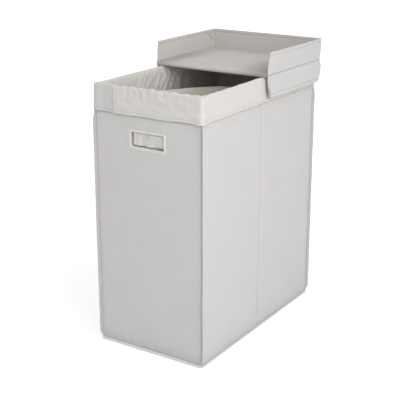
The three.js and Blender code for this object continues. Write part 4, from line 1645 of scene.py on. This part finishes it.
def lid_lip():
    """The strip of lining round the fold, from under the rear half to over the front half."""
    x = stations(5, -lining_inner_width - 2, lining_inner_width + 2)
    belly = np.clip(1 - (np.abs(x) / LIP_HALF_LENGTH) ** 2, 0, 1) ** 0.7
    reach = 5.3 + 3.6 * belly + 0.35 * ripple(x, 0 * x, 60, 301) * belly
    skin = lining_top + 0.75
    margin = [LIP_MARGIN * k / 5 + LIP_START + 0 * x for k in range(6)]
    rows = [np.stack([x, u, -skin + 0 * x], axis=-1) for u in reversed(margin)]
    for angle in np.radians(np.linspace(-75, 75, 11)):
        swell = 1 + 0.12 * belly * math.cos(angle)
        u = LIP_START - reach * math.cos(angle)
        rows.append(np.stack([x, u, skin * math.sin(angle) * swell], axis=-1))
    rows += [np.stack([x, u, skin + 0 * x], axis=-1) for u in margin]
    table = np.array(rows)
    table[..., 2] += fold_height
    far = distances(table)
    piece = sheet_piece("lid_fold_lip", table, grid(x, far)[2])
    # The lip is painted darker beside the skirts, as shade, like the lining.
    set_shade_and_grime(piece, np.broadcast_to(corner_shade(x, 0 * x), table.shape[:2]))
    return piece, far[-1]


lip, lip_width = lid_lip()
thicken(lip, 0.5)
lip.data.materials.clear()
lip.data.materials.append(lid_lining)
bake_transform(lip)
print("lip", round(lip_width), "mm wide")

# %% Roll the seam
ROLL_SIDES = 14
x = stations(4, strip_low[0] + 4, strip_high[0] - 4)
turns = np.linspace(0, 2 * math.pi, ROLL_SIDES + 1)[:-1]
radius = 1.35 + 0.12 * ripple(x, 0 * x, 25, 311)
table = np.stack([
    np.broadcast_to(x, (ROLL_SIDES, len(x))),
    np.outer(np.cos(turns), radius) * (1 + 0.08 * np.sin(3 * turns))[:, None],
    fold_height + np.outer(np.sin(turns), radius),
], axis=-1)
flat = grid(x, np.linspace(0, 9, ROLL_SIDES + 1))[2]
seam_roll = sheet_piece("lid_fold_roll", table, flat, round_rows=True, turned=True)
dress(seam_roll, "lid_fold", outer_cloth, "outer_cloth", "lid_fold_strip")
print("roll", round(strip_high[0] - strip_low[0] - 8), "mm long")

# %% [markdown]
# The tucks in the tray's corners
#
# Where the skirt turns the corner, its inner cloth has a spare triangle, folded flat and sewn down. It
# shows as a triangle with a sharp slanting edge, painted darker along that edge and in the corner, as shade.

# %% Fold the corner tucks
TUCK_FOOT = 24.0
TUCK_WIDTH = 43.0
TUCK_EDGE = 0.04
TUCK_COLUMNS = (0.0, 0.012, TUCK_EDGE, 0.08, 0.12, 0.2, 0.5, 0.8, 0.95, 1.0)


def corner_tuck(half, side):
    """A folded triangle of cloth in one inner corner of a lid half."""
    root_radius, free_radius = HALVES[half]["corner"]
    rows = []
    shade_and_grime = []
    for share in np.linspace(0.03, 1, 12):
        w = TUCK_FOOT + (skirt_free - HEM - 1.5 - TUCK_FOOT) * share
        places, _ = skirt_path(half, skirt_share(w), skirt_thickness)
        radius = root_radius + (free_radius - root_radius) * skirt_share(w)
        corner_u = places[:, 1].max() - max(radius - skirt_thickness, 0) - 0.5
        beside = places[CAP:CAP + SIDE_COLUMNS]
        row = []
        for along in TUCK_COLUMNS:
            u = corner_u - TUCK_WIDTH * share * (1 - along)
            x = np.interp(u, beside[:, 1], beside[:, 0])
            proud = 0.2 + 1.9 * min(1.0, along / TUCK_EDGE) * (1 - 0.8 * along)
            row.append((side * (x - proud), u, -w))
            # Painted shade along the tuck's slanting edge and in the corner.
            shade_and_grime.append(1.0 if along < 0.09 else 0.8 * (along > 0.99))
        rows.append(row)
    table = np.array(rows)
    points = in_lid(half, table[..., 0], table[..., 1], table[..., 2])
    turned = (side > 0) == (HALVES[half]["turn"] > 0)
    name = half + "_lid_" + ("right" if side > 0 else "left") + "_tuck"
    piece = sheet_piece(name, points, table[..., 1:], turned=turned)
    set_shade_and_grime(piece, shade_and_grime)
    return thicken(piece, 0.4, side=1.0)


for half, facts in HALVES.items():
    for side in (1, -1):
        tuck = corner_tuck(half, side)
        dress(tuck, facts["body"], lid_lining, "lining")
print("tucks folded")

# %% [markdown]
# The pieces that stay as they are in CAD
#
# Boards and the rings behind the hand slots are plain, rigid shapes, so the CAD solids stay. A fine bevel
# softens their edges, and they get their board and plastic finishes.

# %% Finish the CAD pieces
board_nodes = ["front_board", "back_board", "right_front_board", "right_rear_board", "left_front_board",
               "left_rear_board", "base_board", "rear_lid_board", "front_lid_board"]
ring_nodes = ["front_handle_backing", "back_handle_backing"]
for node in board_nodes + ring_nodes:
    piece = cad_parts[node]
    piece.data.materials.clear()
    piece.data.materials.append(grey_board if node in board_nodes else slot_plastic)
    soft_edge = piece.modifiers.new("soft_edge", "BEVEL")
    soft_edge.width = 0.4 * MM
    soft_edge.segments = 2
    soft_edge.limit_method = "ANGLE"
print("CAD pieces finished:", len(board_nodes) + len(ring_nodes))

# %% [markdown]
# Floor and light
#
# The photograph has a white ground and broad, soft light, stronger from the right. A pale floor keeps the
# hamper's own shadow. A large lamp on the right models the walls. Weak ones stand in front, high in front
# and behind on the left. The sky fills the shadows, and is brighter overhead than at the horizon. All are
# kept so low that a colour renders about as it is written.

# %% Lay the floor
FLOOR_REACH = 9000.0
FLOOR_SHADE = 0.7


def floor_finish():
    """A matt floor that looks white to the camera, and keeps the hamper's shadow."""
    bench = NodeBench(bpy.data.materials.new("studio_floor"))
    place = bench.node("TexCoord").outputs["Object"]
    tone = bench.calc("MULTIPLY_ADD", bench.noise(place, 3.0), 0.01, FLOOR_SHADE - 0.005)
    colour = bench.node("CombineColor", {0: tone, 1: tone, 2: tone}).outputs[0]
    shader = bench.tree.nodes["Principled BSDF"]
    for name, value in (("Base Color", colour), ("Roughness", 0.95), ("Specular IOR Level", 0.1)):
        bench.feed(shader.inputs[name], value)
    away = bench.node("VectorMath", {0: place}, operation="LENGTH").outputs["Value"]
    glow = bench.node("MapRange", {0: away, 1: 0.5, 2: 2.5, 3: 0.5, 4: 0.85}).outputs[0]
    seen = bench.calc("MULTIPLY", glow, bench.seen_by_camera())
    emission = bench.node("Emission", {"Strength": seen}).outputs[0]
    both = bench.node("AddShader", {0: shader.outputs[0], 1: emission}).outputs[0]
    bench.feed(bench.tree.nodes["Material Output"].inputs["Surface"], both)
    return bench.owner


corners = [(x * FLOOR_REACH, y * FLOOR_REACH, 0) for x, y in ((-1, -1), (1, -1), (1, 1), (-1, 1))]
floor = mesh_piece("studio_floor", corners, [(0, 1, 2, 3)])
floor.data.materials.append(floor_finish())
print("floor laid")

# %% Hang the lamps
COOL = (0.965, 0.98, 1.0)
WARM = (1.0, 0.975, 0.96)
WHITE = (1.0, 1.0, 1.0)


def soft_lamp(name, place, target_height, size, power, colour):
    """A square area lamp that faces a point on the hamper's middle axis; places in metres."""
    data = bpy.data.lights.new(name, "AREA")
    data.shape = "SQUARE"
    data.size = size
    data.energy = power
    data.color = colour
    lamp = bpy.data.objects.new(name, data)
    bpy.context.scene.collection.objects.link(lamp)
    lamp.location = place
    lamp.rotation_mode = "QUATERNION"
    lamp.rotation_quaternion = (Vector((0, 0, target_height)) - Vector(place)).to_track_quat("-Z", "Y")
    lamp.visible_camera = False


soft_lamp("left_front_lamp", (-0.9, -3.0, 1.0), 0.45, 1.6, 4, COOL)
soft_lamp("right_front_lamp", (2.4, -1.25, 1.35), 0.45, 2.0, 38, WARM)
soft_lamp("high_front_lamp", (0.2, -2.6, 2.4), 0.6, 1.5, 4, COOL)
soft_lamp("left_back_lamp", (-2.6, 2.2, 1.5), 0.45, 2.0, 12, WHITE)

# %% Light the sky
HORIZON_LIGHT = 0.36
ZENITH_LIGHT = 0.78
SKY_COLOUR = WHITE + (1.0,)
bench = NodeBench(bpy.data.worlds.new("studio_world"))
bpy.context.scene.world = bench.owner
bench.tree.nodes.clear()
height = bench.node("SeparateXYZ", {0: bench.node("TexCoord").outputs["Generated"]}).outputs[2]
climb = bench.node("MapRange", {0: height, 3: HORIZON_LIGHT, 4: ZENITH_LIGHT}).outputs[0]
fill = bench.node("Background", {"Color": SKY_COLOUR, "Strength": climb}).outputs[0]
white = bench.node("Background", {"Color": SKY_COLOUR, "Strength": 1.0}).outputs[0]
either = bench.node("MixShader", {0: bench.seen_by_camera(), 1: fill, 2: white}).outputs[0]
bench.node("OutputWorld", {0: either})
bpy.context.scene.view_settings.view_transform = "Standard"
print("sky from", HORIZON_LIGHT, "to", ZENITH_LIGHT)
